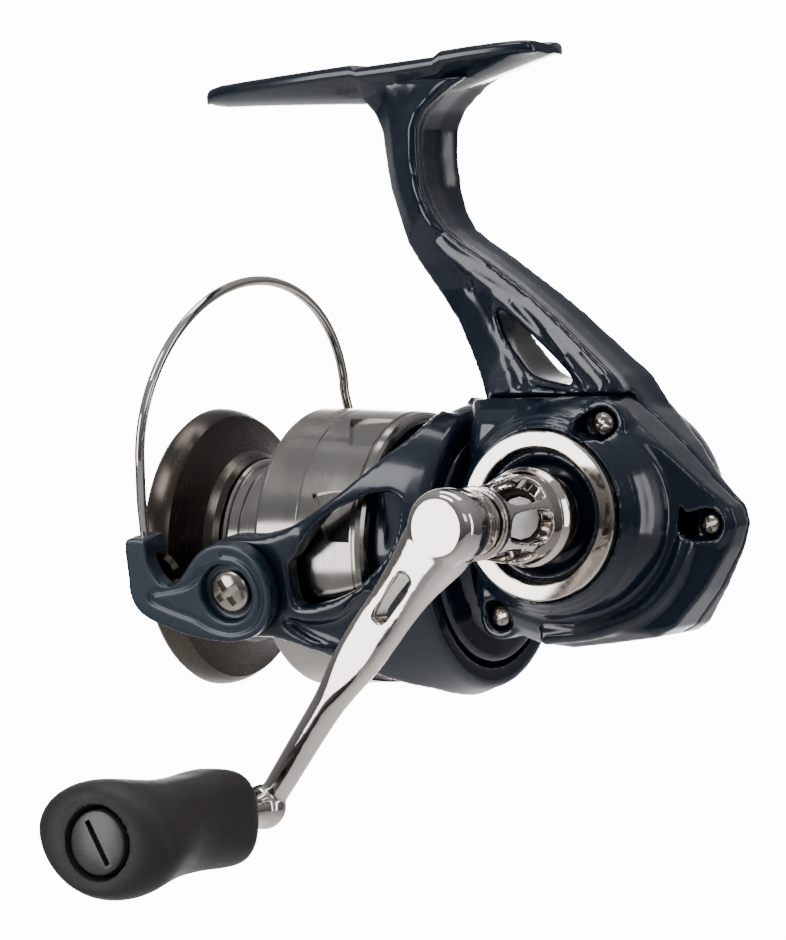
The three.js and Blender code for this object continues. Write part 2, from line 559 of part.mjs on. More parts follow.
const KNOB_AXIS = {
  x: DRIVE_X + ARM_LENGTH * Math.cos(ARM_ANGLE),
  z: DRIVE_Z + ARM_LENGTH * Math.sin(ARM_ANGLE),
};
const knobSpindle = () =>
  rodY(KNOB_START - 0.3, KNOB_FACE - 4.2, 1.9, KNOB_AXIS.x, KNOB_AXIS.z);

function knob() {
  const start = KNOB_START;
  const face = KNOB_FACE;
  const profile = [
    [start, 2.15], [start, 4.6], [start + 1.4, 5.7], [start + 5, 5.9], [start + 9, 5.5], [start + 14, 5.4],
    [start + 20, 6.3], [start + 25, 7.4], [face - 4.5, 7.9], [face - 1.5, 7.4], [face, 6], [face, 5.2],
    [face - 1.2, 5.1], [face - 1.2, 4.7], [face - 3.8, 4.7], [face - 3.8, 2.15],
  ];
  const round = new THREE.LatheGeometry(
    [...profile, profile[0]].map(([y, r]) => new THREE.Vector2(r, y)), ROUND,
  );
  const position = round.attributes.position;
  for (let i = 0; i < position.count; i++) {
    const y = position.getY(i);
    const r = Math.hypot(position.getX(i), position.getZ(i));
    if (r > 4.9) position.setX(i, position.getX(i) * (1 + 0.2 * THREE.MathUtils.smoothstep(y, start, face - 3)));
  }
  return solid(round).translate([KNOB_AXIS.x, 0, KNOB_AXIS.z]);
}
const knobCap = () => {
  const face = KNOB_FACE;
  const slot = plateXZ([[-3.4, -0.5], [3.4, -0.5], [3.4, 0.5], [-3.4, 0.5]], face - 1, face + 3);
  const disc = rodY(face - 3.6, face - 0.3, 4.4, 0, 0, ROUND);
  return disc.subtract(slot.rotate([0, 70, 0])).translate([KNOB_AXIS.x, 0, KNOB_AXIS.z]);
};

// Scene graph.
const reel = new THREE.Group();
const fixed = new THREE.Group();
const turning = new THREE.Group();
turning.rotation.x = ROTOR_TURN;
const design = new THREE.Group();
design.position.set(-FOOT_POINT.x, 0, -FOOT_POINT.z);
design.add(fixed, turning);
reel.add(design);

function place(group, name, made, material) {
  const mesh = new THREE.Mesh(geometryOf(made), material);
  mesh.name = name;
  group.add(mesh);
}

place(fixed, "body_frame", bodyFrame(), NAVY);
place(fixed, "side_plate", sidePlate(), NAVY);
place(fixed, "trim_ring", ringY(15.2, 16.9, RING_INNER_R, RING_OUTER_R), NICKEL);
for (const { name, x, y, z, r } of SCREWS) place(fixed, name, panScrew(x, y, z, r, 6), NICKEL);
for (const side of [1, -1]) {
  const name = side > 0 ? "drive_bearing_handle_side" : "drive_bearing_far_side";
  const from = side * BEARING_Y;
  const to = side * (BEARING_Y + BEARING_WIDTH);
  place(fixed, name, ringY(from, to, DRIVE_SHAFT_R + 0.08, BEARING_R), STEEL);
}
place(fixed, "pinion_bearing", ringX(-46.2, -42.6, 3.2, 6.7), STEEL);
place(fixed, "one_way_clutch", ringX(-42.2, -34, 3.25, 6.7), STEEL);
place(fixed, "clutch_cover", turnedX([
  [-33.2, 3.6], [-33.2, 11], [-32.6, 11.2], [-31.8, 10.2], [-31.8, 3.6],
]), BRASS);

place(fixed, "drive_gear", driveGear(), BRASS);
place(fixed, "far_side_cap", turnedY([
  [-13.6, 0], [-13.6, 3.6], [-15.9, 3.9], [-16.2, 6.9], [-18.6, 6.6], [-19.6, 5.4], [-19.9, 0],
]), NICKEL);
place(fixed, "oscillation_gear", oscillationGear(), BRASS);
place(fixed, "oscillation_slider", oscillationSlider(), ALUMINIUM);
place(fixed, "main_shaft", mainShaft(), STEEL);

place(turning, "rotor", rotor(), NAVY);
place(turning, "pinion_gear", pinionGear(), BRASS);
place(turning, "rotor_nut", toothedX(-27.2, -24.9, 6, 5.2, 5.6, 3.2), STEEL);
place(turning, "bail_pivot_screw", pivotScrew(1), NICKEL);
place(turning, "bail_pivot_screw_far", pivotScrew(-1), NICKEL);
place(turning, "bail_spring", bailSpring(), STEEL);
place(turning, "bail_spring_cover", springCover(), NAVY);
place(turning, "bail_arm", bailArm(), SATIN_NAVY);
place(turning, "bail_lever", bailLever(), SATIN_NAVY);
place(turning, "bail_wire", bailWire(), NICKEL);
place(turning, "line_roller", lineRoller(), STEEL);
place(turning, "roller_screw", rollerScrew(), STEEL);

place(fixed, "spool_body", spoolBody(), ALUMINIUM);
place(fixed, "spool_flange", spoolFlange(), GUNMETAL);
for (const { name, x, width, material } of DRAG_STACK) place(fixed, name, ringX(x, x + width, 2.4, 10), material);
place(fixed, "drag_retainer", ringX(-4.4, -3.9, 9, 10.7), STEEL);
place(fixed, "drag_knob", dragKnob(), GUNMETAL);
place(fixed, "click_gear", toothedX(-23.8, -22.5, 24, 6, 6.8, MAIN_SHAFT_R + 0.05), BRASS);

place(fixed, "hub_sleeve", hubSleeve(), NICKEL);
place(fixed, "cross_pin", crossPin(), NICKEL);
place(fixed, "handle_arm", handleArm(), NICKEL);
place(fixed, "knob_spindle", knobSpindle(), STEEL);
place(fixed, "handle_knob", knob(), RUBBER);
place(fixed, "knob_cap", knobCap(), GUNMETAL);

export default reel;
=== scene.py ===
"""Looks of a small spinning reel around its packed mechanical frame.

Shapes are drawn in the reel's own millimetres: X along the main shaft towards the spool, Y along
the drive shaft towards the handle, Z towards the rod foot, with the shaft on y = z = 0.
"""

import math

import bmesh
import bpy
from mathutils import Matrix, Vector


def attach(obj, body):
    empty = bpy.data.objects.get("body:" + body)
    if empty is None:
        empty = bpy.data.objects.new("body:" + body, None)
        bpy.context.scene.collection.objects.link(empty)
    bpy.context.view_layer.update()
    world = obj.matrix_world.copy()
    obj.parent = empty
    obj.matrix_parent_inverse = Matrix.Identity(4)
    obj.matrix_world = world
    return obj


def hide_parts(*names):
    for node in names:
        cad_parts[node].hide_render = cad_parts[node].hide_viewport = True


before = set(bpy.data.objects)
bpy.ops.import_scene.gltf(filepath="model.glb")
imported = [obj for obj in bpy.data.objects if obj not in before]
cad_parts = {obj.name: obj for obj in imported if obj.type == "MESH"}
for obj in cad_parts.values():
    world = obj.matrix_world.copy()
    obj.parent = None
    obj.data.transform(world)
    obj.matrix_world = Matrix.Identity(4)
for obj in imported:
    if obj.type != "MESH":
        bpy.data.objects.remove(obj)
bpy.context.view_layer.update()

# The middle of the seat is the frame's origin, and the seat leans a little from the main shaft.
FOOT = Vector((-33.3, 0.0, 70.8))
FOOT_TILT = math.radians(3.6)
TO_FRAME = Matrix.Scale(0.001, 4) @ Matrix.Translation(-FOOT)
# The rotor and the bail are drawn with their arms level, and stand turned about the main shaft.
ROTOR_TURN = Matrix.Rotation(math.radians(-10.8), 4, "X")
# The drive shaft in XZ, the bail's pivot along X, and where the gear case parts and ends.
DRIVE = (-60.7, 5.3)
PIVOT_X = -14.5
PARTING_Y = 1.0
CASE_TOP = 21.9
# The handle: its angle in XZ, its radius, its tip and cross pin along Y, and the knob's axis in XZ.
ARM_ANGLE = math.radians(-51.2)
ARM_LENGTH = 50.0
TIP_Y = 41.0
PIN_Y = 37.5
KNOB = (
    DRIVE[0] + ARM_LENGTH * math.cos(ARM_ANGLE),
    DRIVE[1] + ARM_LENGTH * math.sin(ARM_ANGLE),
)
# The face of the knob's grip along Y.
KNOB_FACE = 82.5


# --- Materials -----------------------------------------------------------------------------------
# The colour sockets of a Mix node, whose names its other sockets share.
MIX_DARK, MIX_LIGHT, MIX_RESULT = 6, 7, 2


def linear(code):
    """An sRGB hex colour as linear RGBA."""
    parts = [int(code[i : i + 2], 16) / 255 for i in (1, 3, 5)]
    return [c / 12.92 if c <= 0.04045 else ((c + 0.055) / 1.055) ** 2.4 for c in parts] + [1.0]


def node(tree, kind, inputs=None, **settings):
    """Adds one node with its settings, its socket values and its links."""
    made = tree.nodes.new(kind)
    for key, value in settings.items():
        setattr(made, key, value)
    for key, value in (inputs or {}).items():
        if isinstance(value, bpy.types.NodeSocket):
            tree.links.new(value, made.inputs[key])
        else:
            made.inputs[key].default_value = value
    return made


def surface(name, light, dark, rough, grain_mm, bump_mm, patch_mm=9.0, stretch=(1, 1, 1), **sockets):
    """A finish with a slow colour drift, a fine grain in its gloss and the same grain as relief."""
    made = bpy.data.materials.new(name)
    made.use_nodes = True
    tree = made.node_tree
    tree.nodes.clear()
    place = node(tree, "ShaderNodeTexCoord").outputs["Object"]
    along = node(tree, "ShaderNodeMapping", {"Vector": place, "Scale": stretch}).outputs["Vector"]
    slow = {"Vector": place, "Scale": 1000 / patch_mm, "Detail": 3.0}
    fine = {"Vector": along, "Scale": 1000 / grain_mm, "Detail": 4.0}
    drift = node(tree, "ShaderNodeTexNoise", slow)
    grain = node(tree, "ShaderNodeTexNoise", fine)
    tint = node(
        tree,
        "ShaderNodeMix",
        {"Factor": drift.outputs["Fac"], MIX_DARK: linear(dark), MIX_LIGHT: linear(light)},
        data_type="RGBA",
    )
    mixed = node(
        tree,
        "ShaderNodeMath",
        {0: drift.outputs["Fac"], 1: grain.outputs["Fac"]},
        operation="MULTIPLY",
    )
    gloss = node(
        tree,
        "ShaderNodeMapRange",
        {
            "Value": mixed.outputs[0], "From Min": 0.1, "From Max": 0.45,
            "To Min": rough[0], "To Max": rough[1],
        },
    )
    relief = node(
        tree,
        "ShaderNodeBump",
        {"Height": grain.outputs["Fac"], "Strength": 1.0, "Distance": bump_mm * 0.001},
    )
    links = {
        "Base Color": tint.outputs[MIX_RESULT],
        "Roughness": gloss.outputs["Result"],
        "Normal": relief.outputs["Normal"],
    }
    shader = node(tree, "ShaderNodeBsdfPrincipled", {**links, **sockets})
    node(tree, "ShaderNodeOutputMaterial", {"Surface": shader.outputs["BSDF"]})
    return made


# Stoved metallic enamel on die-cast aluminium: deep gloss with a faint orange peel.
ENAMEL = surface(
    "navy_stoved_enamel", "#112132", "#0b1826", (0.17, 0.25), 1.1, 0.003,
    Metallic=0.08, **{"Coat Weight": 0.45, "Coat Roughness": 0.07},
)
# The same enamel with less clear coat, as sprayed on the bail arm: a softer shine.
SATIN_ENAMEL = surface(
    "satin_navy_enamel", "#1e3041", "#182735", (0.26, 0.36), 0.7, 0.006,
    Metallic=0.15, **{"Coat Weight": 0.25, "Coat Roughness": 0.15},
)
# Bright nickel over polished zinc: warm mirror with faint polishing haze.
NICKEL = surface(
    "bright_nickel_plate", "#e6dfd8", "#d3cbc3", (0.05, 0.12), 0.9, 0.0012, Metallic=1.0
)
# Stainless screw heads and shafts: fine turning marks and a duller shine than plating.
STAINLESS = surface(
    "turned_stainless_steel", "#c3bbb2", "#a39b93", (0.16, 0.26), 0.3, 0.0008, Metallic=1.0
)
# Grain drawn out across the main shaft.
TURNED_ROUND_X = (1, 0.05, 0.05)
# Diamond-cut anodised aluminium: rings of turning that stretch the highlight round the skirt.
SPOOL_METAL = surface(
    "diamond_cut_anodised_aluminium", "#b6b1ab", "#94908b", (0.14, 0.24), 0.22, 0.0016,
    stretch=TURNED_ROUND_X, Metallic=1.0, Anisotropic=0.6,
)
# Warm dark anodising on the lip and the drag knob: a smoky satin metal.
SMOKE_ANODISING = surface(
    "smoke_anodised_aluminium", "#5c554f", "#46413d", (0.22, 0.32), 0.25, 0.002,
    stretch=TURNED_ROUND_X, Metallic=1.0, Anisotropic=0.5,
)
# Moulded thermoplastic rubber: fine spark-eroded grain, drawn a little coarse so that it shows.
RUBBER = surface(
    "moulded_thermoplastic_rubber", "#2e2a27", "#24211f", (0.5, 0.66), 0.45, 0.02, 6.0,
    **{"IOR": 1.5, "Specular IOR Level": 0.45},
)
# Hard glossier plastic of the knob's end cap.
CAP_PLASTIC = surface(
    "moulded_black_nylon", "#3a3634", "#2f2c2a", (0.25, 0.35), 0.3, 0.006, IOR=1.5
)
# The sleeve's bore, painted near-black as painted shade: the dark colour stands in for the shade
# deep inside the sleeve.
BORE_PAINTED_SHADE = surface(
    "bore_painted_shade_near_black", "#2b251f", "#1c1814", (0.4, 0.6), 0.4, 0.004, Metallic=0.5
)
# Machined brass gears with cutter marks.
BRASS = surface("machined_brass", "#c9a55a", "#a98643", (0.22, 0.36), 0.3, 0.004, Metallic=1.0)
# Oiled wool felt of the drag washers.
FELT = surface("oiled_wool_felt", "#7a7166", "#5b5349", (0.8, 0.95), 0.4, 0.09, 3.0, IOR=1.45)
# Sintered and cast aluminium of the inner slider.
CAST = surface("cast_aluminium", "#a8a6a2", "#8a8783", (0.35, 0.5), 0.6, 0.01, Metallic=1.0)


# --- Mesh making ---------------------------------------------------------------------------------
def flowing(points, steps=6, closed=False):
    """A smooth line through points, as a Catmull-Rom curve."""
    count = len(points)
    found = []
    for i in range(count if closed else count - 1):
        near = [k % count if closed else min(max(k, 0), count - 1) for k in range(i - 1, i + 3)]
        a, b, c, d = (Vector(points[k]) for k in near)
        slope, bend, twist = c - a, 2 * a - 5 * b + 4 * c - d, 3 * b - a - 3 * c + d
        for step in range(steps):
            t = step / steps
            found.append(0.5 * (2 * b + slope * t + bend * t * t + twist * t**3))
    if not closed:
        found.append(Vector(points[-1]))
    return [tuple(p) for p in found]


def tidy(bm):
    """The mesh with its doubled corners merged and its faces turned outwards."""
    bmesh.ops.remove_doubles(bm, verts=bm.verts, dist=1e-4)
    bmesh.ops.recalc_face_normals(bm, faces=bm.faces)
    return bm


def turned(profile, axis="X", steps=96, centre=(0, 0)):
    """A turned body. The profile lists (place along the axis, radius), and may leave a bore."""
    bm = bmesh.new()
    if axis == "X":
        made = [bm.verts.new((along, centre[0], centre[1] + r)) for along, r in profile]
        middle, spin = (0, centre[0], centre[1]), (1, 0, 0)
    else:
        made = [bm.verts.new((centre[0], along, centre[1] + r)) for along, r in profile]
        middle, spin = (centre[0], 0, centre[1]), (0, 1, 0)
    edges = [bm.edges.new(pair) for pair in zip(made, made[1:])]
    if profile[0][1] > 0:
        edges.append(bm.edges.new((made[-1], made[0])))
    bmesh.ops.spin(
        bm, geom=made + edges, cent=middle, axis=spin, angle=math.tau, steps=steps, use_merge=True
    )
    return tidy(bm)


def rod(low, high, radius, axis="X", steps=64, centre=(0, 0)):
    """A plain cylinder, mostly to cut a bore."""
    return turned([(low, 0), (low, radius), (high, radius), (high, 0)], axis, steps, centre)


def push(bm, grown, vec):
    """Moves the corners that an extrusion has just grown."""
    verts = [part for part in grown["geom"] if isinstance(part, bmesh.types.BMVert)]
    bmesh.ops.translate(bm, vec=vec, verts=verts)


def plate(outline, low, high, normal="Y"):
    """A flat body with its outline in XZ (or in XY for normal Z)."""
    bm = bmesh.new()
    spot = (lambda a, b: (a, low, b)) if normal == "Y" else (lambda a, b: (a, b, low))
    step = (0, high - low, 0) if normal == "Y" else (0, 0, high - low)
    face = bm.faces.new([bm.verts.new(spot(a, b)) for a, b in outline])
    push(bm, bmesh.ops.extrude_face_region(bm, geom=[face]), step)
    return tidy(bm)


def loft(rings):
    """A skin over closed rings of points, one after another, capped at both ends."""
    bm = bmesh.new()
    loops = []
    for ring in rings:
        verts = [bm.verts.new(p) for p in ring]
        loops.append([bm.edges.new((a, b)) for a, b in zip(verts, verts[1:] + verts[:1])])
    for a, b in zip(loops, loops[1:]):
        bmesh.ops.bridge_loops(bm, edges=a + b)
    bmesh.ops.holes_fill(bm, edges=loops[0] + loops[-1], sides=0)
    return tidy(bm)


def reach(c, d, power):
    """How far a unit oval reaches in a direction: power 2 is round, and more is squarer."""
    return (abs(c) ** power + abs(d) ** power) ** (-1 / power)


def tube(path, radius, sides=24, powers=None):
    """A bar along a path. Its radius is one number, or (across, deep) for each point."""
    rings = []
    points = [Vector(p) for p in path]
    for i, point in enumerate(points):
        ahead = (points[min(i + 1, len(points) - 1)] - points[max(i - 1, 0)]).normalized()
        other = Vector((0, 1, 0)) if abs(ahead.y) < 0.9 else Vector((1, 0, 0))
        side = ahead.cross(other).normalized()
        deep = side.cross(ahead)
        wide, thick = radius[i] if isinstance(radius, list) else (radius, radius)
        ring = []
        power = powers[i] if powers else 2
        for k in range(sides):
            c, d = math.cos(math.tau * k / sides), math.sin(math.tau * k / sides)
            soft = reach(c, d, power)
            ring.append(point + side * wide * soft * c + deep * thick * soft * d)
        rings.append(ring)
    return loft(rings)


def ball(radius, centre):
    """A sphere."""
    bm = bmesh.new()
    place = Matrix.Translation(centre)
    bmesh.ops.create_uvsphere(bm, u_segments=48, v_segments=24, radius=radius, matrix=place)
    return bm


def turn(bm, angle, axis):
    """The mesh turned about an axis through the origin."""
    bmesh.ops.rotate(bm, verts=bm.verts, cent=(0, 0, 0), matrix=Matrix.Rotation(angle, 3, axis))
    return bm


def move(bm, x, y, z):
    """The mesh moved."""
    bmesh.ops.translate(bm, vec=(x, y, z), verts=bm.verts)
    return bm


def joined(*parts):
    """Several meshes in one."""
    whole = bmesh.new()
    for part in parts:
        held = bpy.data.meshes.new("held")
        part.to_mesh(held)
        whole.from_mesh(held)
        bpy.data.meshes.remove(held)
    return whole


def hold(bm, name="working"):
    """An object in the scene that holds the mesh."""
    mesh = bpy.data.meshes.new(name)
    bm.to_mesh(mesh)
    made = bpy.data.objects.new(name, mesh)
    bpy.context.scene.collection.objects.link(made)
    return made


def worked(bm, cuts=(), common=(), voxel=0.0, rounding=0, added=()):
    """The mesh after its cuts. With a voxel it gets one skin, eased by rounding, then additions."""
    made = hold(bm)
    tools = []

    def skin():
        shell = made.modifiers.new("skin", "REMESH")
        shell.mode, shell.voxel_size = "VOXEL", voxel

    def combine(shapes, operation):
        for shape in shapes:
            tools.append(hold(shape, "tool"))
            step = made.modifiers.new("combine", "BOOLEAN")
            step.operation, step.object, step.solver = operation, tools[-1], "MANIFOLD"

    if voxel:
        skin()
    combine(common, "INTERSECT")
    combine(cuts, "DIFFERENCE")
    if voxel:
        skin()
    if rounding:
        ease = made.modifiers.new("ease", "SMOOTH")
        ease.iterations, ease.factor = rounding, 0.5
    combine(added, "UNION")
    bpy.context.view_layer.update()
    solid = made.evaluated_get(bpy.context.evaluated_depsgraph_get())
    result = bmesh.new()
    held = bpy.data.meshes.new_from_object(solid)
    result.from_mesh(held)
    bpy.data.meshes.remove(held)
    for used in [made, *tools]:
        bpy.data.objects.remove(used)
    return result


def piece(name, bm, material, body, slot, *nodes, on_rotor=False, sharp=35):
    """A finished piece in the frame's metres, riding its body in place of its CAD nodes."""
    if on_rotor:
        bmesh.ops.transform(bm, matrix=ROTOR_TURN, verts=bm.verts)
    bmesh.ops.transform(bm, matrix=TO_FRAME, verts=bm.verts)
    made = hold(bm, name)
    made.data.materials.append(material)
    for face in made.data.polygons:
        face.use_smooth = True
    made.data.set_sharp_from_angle(angle=math.radians(sharp))
    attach(made, body)
    if nodes:
        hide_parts(*nodes)
    return made


def pan_screw(x, y, z, r, length, cross_turn, side=1):
    """A pan-head screw along Y with a cross recess."""
    profile = [
        (-length, 0), (-length, r * 0.42), (-0.05, r * 0.42), (0, r * 0.86), (0.16, r), (0.62, r),
        (0.95, r * 0.9), (1.22, r * 0.66), (1.38, r * 0.36), (1.42, 0),
    ]
    body = turned([(y + side * a, b) for a, b in profile], "Y", 48, (x, z))
    low, high = sorted((y + side * 0.5, y + side * 3))
    w, n = 0.17 * r, 0.66 * r
    cross = plate([
        (-w, -n), (w, -n), (w, -w), (n, -w), (n, w), (w, w), (w, n), (-w, n), (-w, w), (-n, w),
        (-n, -w), (-w, -w),
    ], low, high)
    return worked(body, [move(turn(cross, cross_turn, "Y"), x, 0, z)])


# --- Frame casting: foot, stem and the far half of the gear case ---------------------------------
# The gear case in XZ, its two sides from above in XY, and the room inside it from above.
CASE_OUTLINE = [
    (-45.2, 17.5), (-46.2, 21.9), (-67.6, 21.9), (-71.6, 18.7), (-76.4, 14.4), (-81, 9.4),
    (-85.2, 5.7), (-85.9, 3.3), (-84.8, 0), (-81.2, -6), (-77.2, -11), (-74.5, -12.4),
    (-67.5, -13.3), (-61, -14), (-56, -13.4), (-48, -11), (-45.2, -9),
]
CASE_PLAN = [(-40, 12.5), (-64, 12.5), (-74, 9.7), (-80, 7.1), (-86.4, 4.9)]
FAR_PLAN = [(-86.4, 0.4), (-80, -1.8), (-74, -5.4), (-66, -10), (-58, -12.5), (-40, -12.5)]
HOLLOW_PLAN = [(-44, 7.8), (-44, -7.8), (-63, -7.8), (-73, -3), (-79, 0), (-82, 7.8)]
# The side plate's screws: (x, y, z, radius of the head, radius of its well).
SCREWS = {
    "side_plate_screw_upper": (-68.4, 10.4, 17.9, 1.75, 2.5),
    "side_plate_screw_rear": (-81.8, 4.4, 3.4, 1.6, 2.3),
    "side_plate_screw_front": (-50.4, 9.2, -9.4, 1.6, 2.3),
}
# The seat along X: (place, half width, top, underside).
FOOT_STATIONS = [
    (35.6, 1.4, -0.7, -1.6), (35.2, 2.4, -0.2, -2.1), (34.2, 3.3, 0.2, -2.5), (32, 4.0, 0.45, -2.8),
    (27, 4.8, 0.5, -3.2), (20, 5.6, 0.5, -3.9), (12, 6.2, 0.5, -4.7), (7.6, 6.3, 0.5, -5.2),
    (6.9, 6.3, 0.2, -5.2), (6.4, 6.3, 0.0, -5.3), (0, 6.3, 0.0, -5.6), (-6.4, 6.3, 0.0, -5.1),
    (-6.9, 6.3, 0.3, -5.0), (-7.6, 6.3, 0.7, -4.8), (-12, 6.2, 0.8, -3.8), (-17, 5.9, 0.8, -2.7),
    (-20, 5.5, 0.75, -2.0), (-21.5, 5.1, 0.6, -1.6), (-22.2, 4.4, 0.3, -1.3),
]


def foot():
    """The seat: flat on top with eased edges, a shallow keel below and a trough at its rear end."""
    rings = []
    for x, w, top, low in FOOT_STATIONS:
        edge = max(top - 1.5, low + 0.3)
        half = [
            (0, top), (w - 0.7, top), (w - 0.2, top - 0.2), (w, top - 0.6), (w, edge),
            (w - 0.3, edge - 0.35),
        ]
        half += [(w * 0.72, edge * 0.45 + low * 0.55), (w * 0.4, low + 0.15), (0, low)]
        half = [(y, max(z, low)) for y, z in half]
        rings.append([(x, y, z) for y, z in half] + [(x, -y, z) for y, z in reversed(half[1:-1])])
    line = [(-30, 0, 5.9), (-18, 0, 6.4), (-13, 0, 7.4)]
    trough = tube(line, [(6.2, 6.2), (6.2, 6.2), (5.6, 5.6)], 48)
    return move(turn(worked(loft(rings), [trough]), FOOT_TILT, "Y"), *FOOT)


# The stem from the seat down: (height, front, rear, half width behind, half width in front).
STEM = [
    (68.2, -21.4, -45.4, 6.0, 4.4), (67, -24.2, -42.8, 6.1, 3.6), (65.6, -26.0, -40.8, 6.4, 3.0),
    (63.5, -27.6, -38.2, 6.9, 2.5), (61, -28.6, -36.9, 7.0, 2.3), (57, -29.0, -36.7, 6.9, 2.2),
    (52.5, -29.7, -37.2, 6.7, 2.2), (48.8, -30.9, -38.4, 6.3, 2.2), (46.4, -31.6, -40.0, 6.0, 2.2),
    (44.3, -32.4, -42.8, 5.9, 2.2), (41.5, -34.2, -47.2, 5.8, 2.2), (37.5, -37.2, -52.8, 5.8, 2.3),
    (33.3, -40.3, -58.0, 6.0, 2.6), (28.8, -42.7, -63.0, 6.4, 3.2), (24.3, -45.0, -68.0, 6.9, 4.4),
    (20.4, -46.4, -70.5, 7.0, 5.2),
]


def stem():
    """The stem, with a shallow hollow down its rear between two edges."""
    rings = []
    for z, front, rear, wide, narrow in STEM:
        deep = front - rear
        hollow = 1.5 if z > 50 else 0.9
        half = [
            (front, narrow), (front - 0.35 * deep, (narrow + wide) * 0.5),
            (rear + 0.12 * deep, wide),
        ]
        half += [(rear, wide - 0.9), (rear + hollow, wide * 0.35)]
        rings.append([(x, y, z) for x, y in half] + [(x, -y, z) for x, y in reversed(half)])
    return loft(rings)


# The window through the stem in XZ.
WINDOW = [
    (-48.5, 34.6), (-48.9, 31), (-51.4, 27.5), (-53.8, 25), (-57, 23.9), (-60.4, 23.8),
    (-54.8, 29.6),
]
# The funnel that leads into the window from either side.
FUNNEL = [
    (-47.4, 36.4), (-47.8, 30.6), (-50.6, 26.7), (-53.4, 24), (-57, 22.8), (-62.4, 22.8),
    (-55.4, 30.4),
]
# Lines down the stem's flanks as (x, z, half width there): the crease in front of the window, the
# narrow groove beside the window's rear rib, and the broad flute behind it.
FRONT_CREASE = [
    (-43.4, 38.4, 3.6), (-44.9, 35.6, 4.3), (-46.9, 32.2, 4.6), (-49.2, 28.9, 4.9), (-51, 26, 5.2),
    (-52.6, 23, 5.5),
]
RIB_GROOVE = [
    (-45.9, 37.8, 5.0), (-50, 36.2, 5.5), (-53.3, 33.5, 5.6), (-56.6, 29.7, 5.8), (-59, 26.4, 6.0),
    (-61.9, 22.3, 6.3),
]
FLUTE = [
    (-38.6, 45.8, 5.0), (-41.3, 42.9, 5.2), (-47.2, 39.8, 5.6), (-52.4, 36.6, 5.7),
    (-56.5, 32.8, 6.0), (-61.9, 27.2, 6.4), (-66.4, 22.6, 6.8),
]


def groove(line, side, radius, depth):
    """A cutter that runs along a flank and sinks gently in from its first point."""
    path = flowing([(x, side * (half + radius - depth), z) for x, z, half in line], 6)
    count = len(path)
    sunk = [radius - depth + depth * min(1, 3 * (i + 0.5) / count) for i in range(count)]
    return tube(path, [(r, r) for r in sunk], 24)


def stem_cuts():
    """The window and the grooves of both flanks."""
    cutters = [plate(flowing(WINDOW, 5, True), -12, 12)]
    for side in (1, -1):
        low, high = sorted((side * 4.9, side * 9))
        cutters.append(plate(flowing(FUNNEL, 5, True), low, high))
        cutters.append(groove(FLUTE, side, 3.0, 0.75))
        cutters.append(groove(RIB_GROOVE, side, 1.1, 0.7))
        cutters.append(groove(FRONT_CREASE, side, 1.3, 0.45))
    return cutters


def case_block():
    """Both halves of the gear case as one block, eased towards the sides and the tail."""
    mid_x, mid_z = -62, 4
    rings = []
    for y, share in ((-12.6, 0.8), (-11, 0.9), (-8.4, 1.0), (8.4, 1.0), (11, 0.9), (12.6, 0.8)):
        rings.append([
            (mid_x + (x - mid_x) * share, y, mid_z + (z - mid_z) * share) for x, z in CASE_OUTLINE
        ])
    block = loft(rings)
    plan = plate([*CASE_PLAN, *FAR_PLAN], -40, 50, "Z")
    return worked(block, common=[plan])


def slab(y0, y1, x0=-100, x1=-20, z0=-40, z1=90):
    """A block between two places along Y, by default larger than the gear case in XZ."""
    return plate([(x0, z0), (x0, z1), (x1, z1), (x1, z0)], y0, y1)


def boss(side):
    """The stepped round boss of a drive bearing, with the seat of the trim ring."""
    profile = [
        (7, 0.0), (7, 16.6), (9.6, 16.2), (11.8, 15.3), (13.3, 14.5), (13.9, 14.3), (14.05, 13.7),
        (14.9, 13.5), (15.05, 12.9), (15.8, 12.75), (16, 12.5), (16, 12.25), (15, 12.2), (15, 9.3),
        (15.8, 9.2), (16.05, 8.9), (15.9, 8.4), (15.2, 8.0), (14.6, 7.7), (13.4, 7.5), (13.3, 0.0),
    ]
    return turned([(side * y, r) for y, r in profile], "Y", 128, DRIVE)


def gear_hollow():
    """The room inside the gear case."""
    outline = [
        (-46.4, 17), (-48, 19), (-67.5, 19), (-71, 16.5), (-76, 10.5), (-79.6, 4), (-77.4, -5),
        (-75, -9.6), (-66, -10.6), (-57, -10.8), (-49, -8.6), (-46.4, -7.4),
    ]
    return worked(plate(outline, -7.8, 7.8), common=[plate(HOLLOW_PLAN, -40, 50, "Z")])


def body_frame():
    """The one-piece casting, which the seat joins last so that its edges stay crisp."""
    skin = joined(stem(), worked(case_block(), [slab(PARTING_Y, 40)]), boss(-1))
    flange = turned([
        (-46.8, 0), (-46.8, 12), (-44.9, 12.4), (-44.6, 16.5), (-44.2, 17), (-39.5, 17), (-39.5, 0),
    ], "X", 128)
    nose = turned([(-42, 0), (-42, 11), (-33.6, 11), (-33.4, 10.8), (-33.4, 0)], "X", 96)
    skin = joined(skin, flange, nose)
    # Bores of the pinion and its clutch, and of the far drive bearing; then the side plate's room.
    cuts = [*stem_cuts(), gear_hollow()]
    cuts += [rod(-48, -30, 6.9), rod(-34.5, -30, 9.3)]
    cuts += [rod(-11.7, -7.4, 5.9, "Y", 64, DRIVE), rod(-20, -11, 4.4, "Y", 64, DRIVE)]
    cuts.append(slab(PARTING_Y, 40, z1=CASE_TOP, x1=-46.9))
    return worked(skin, cuts, voxel=0.42, rounding=6, added=[foot()])


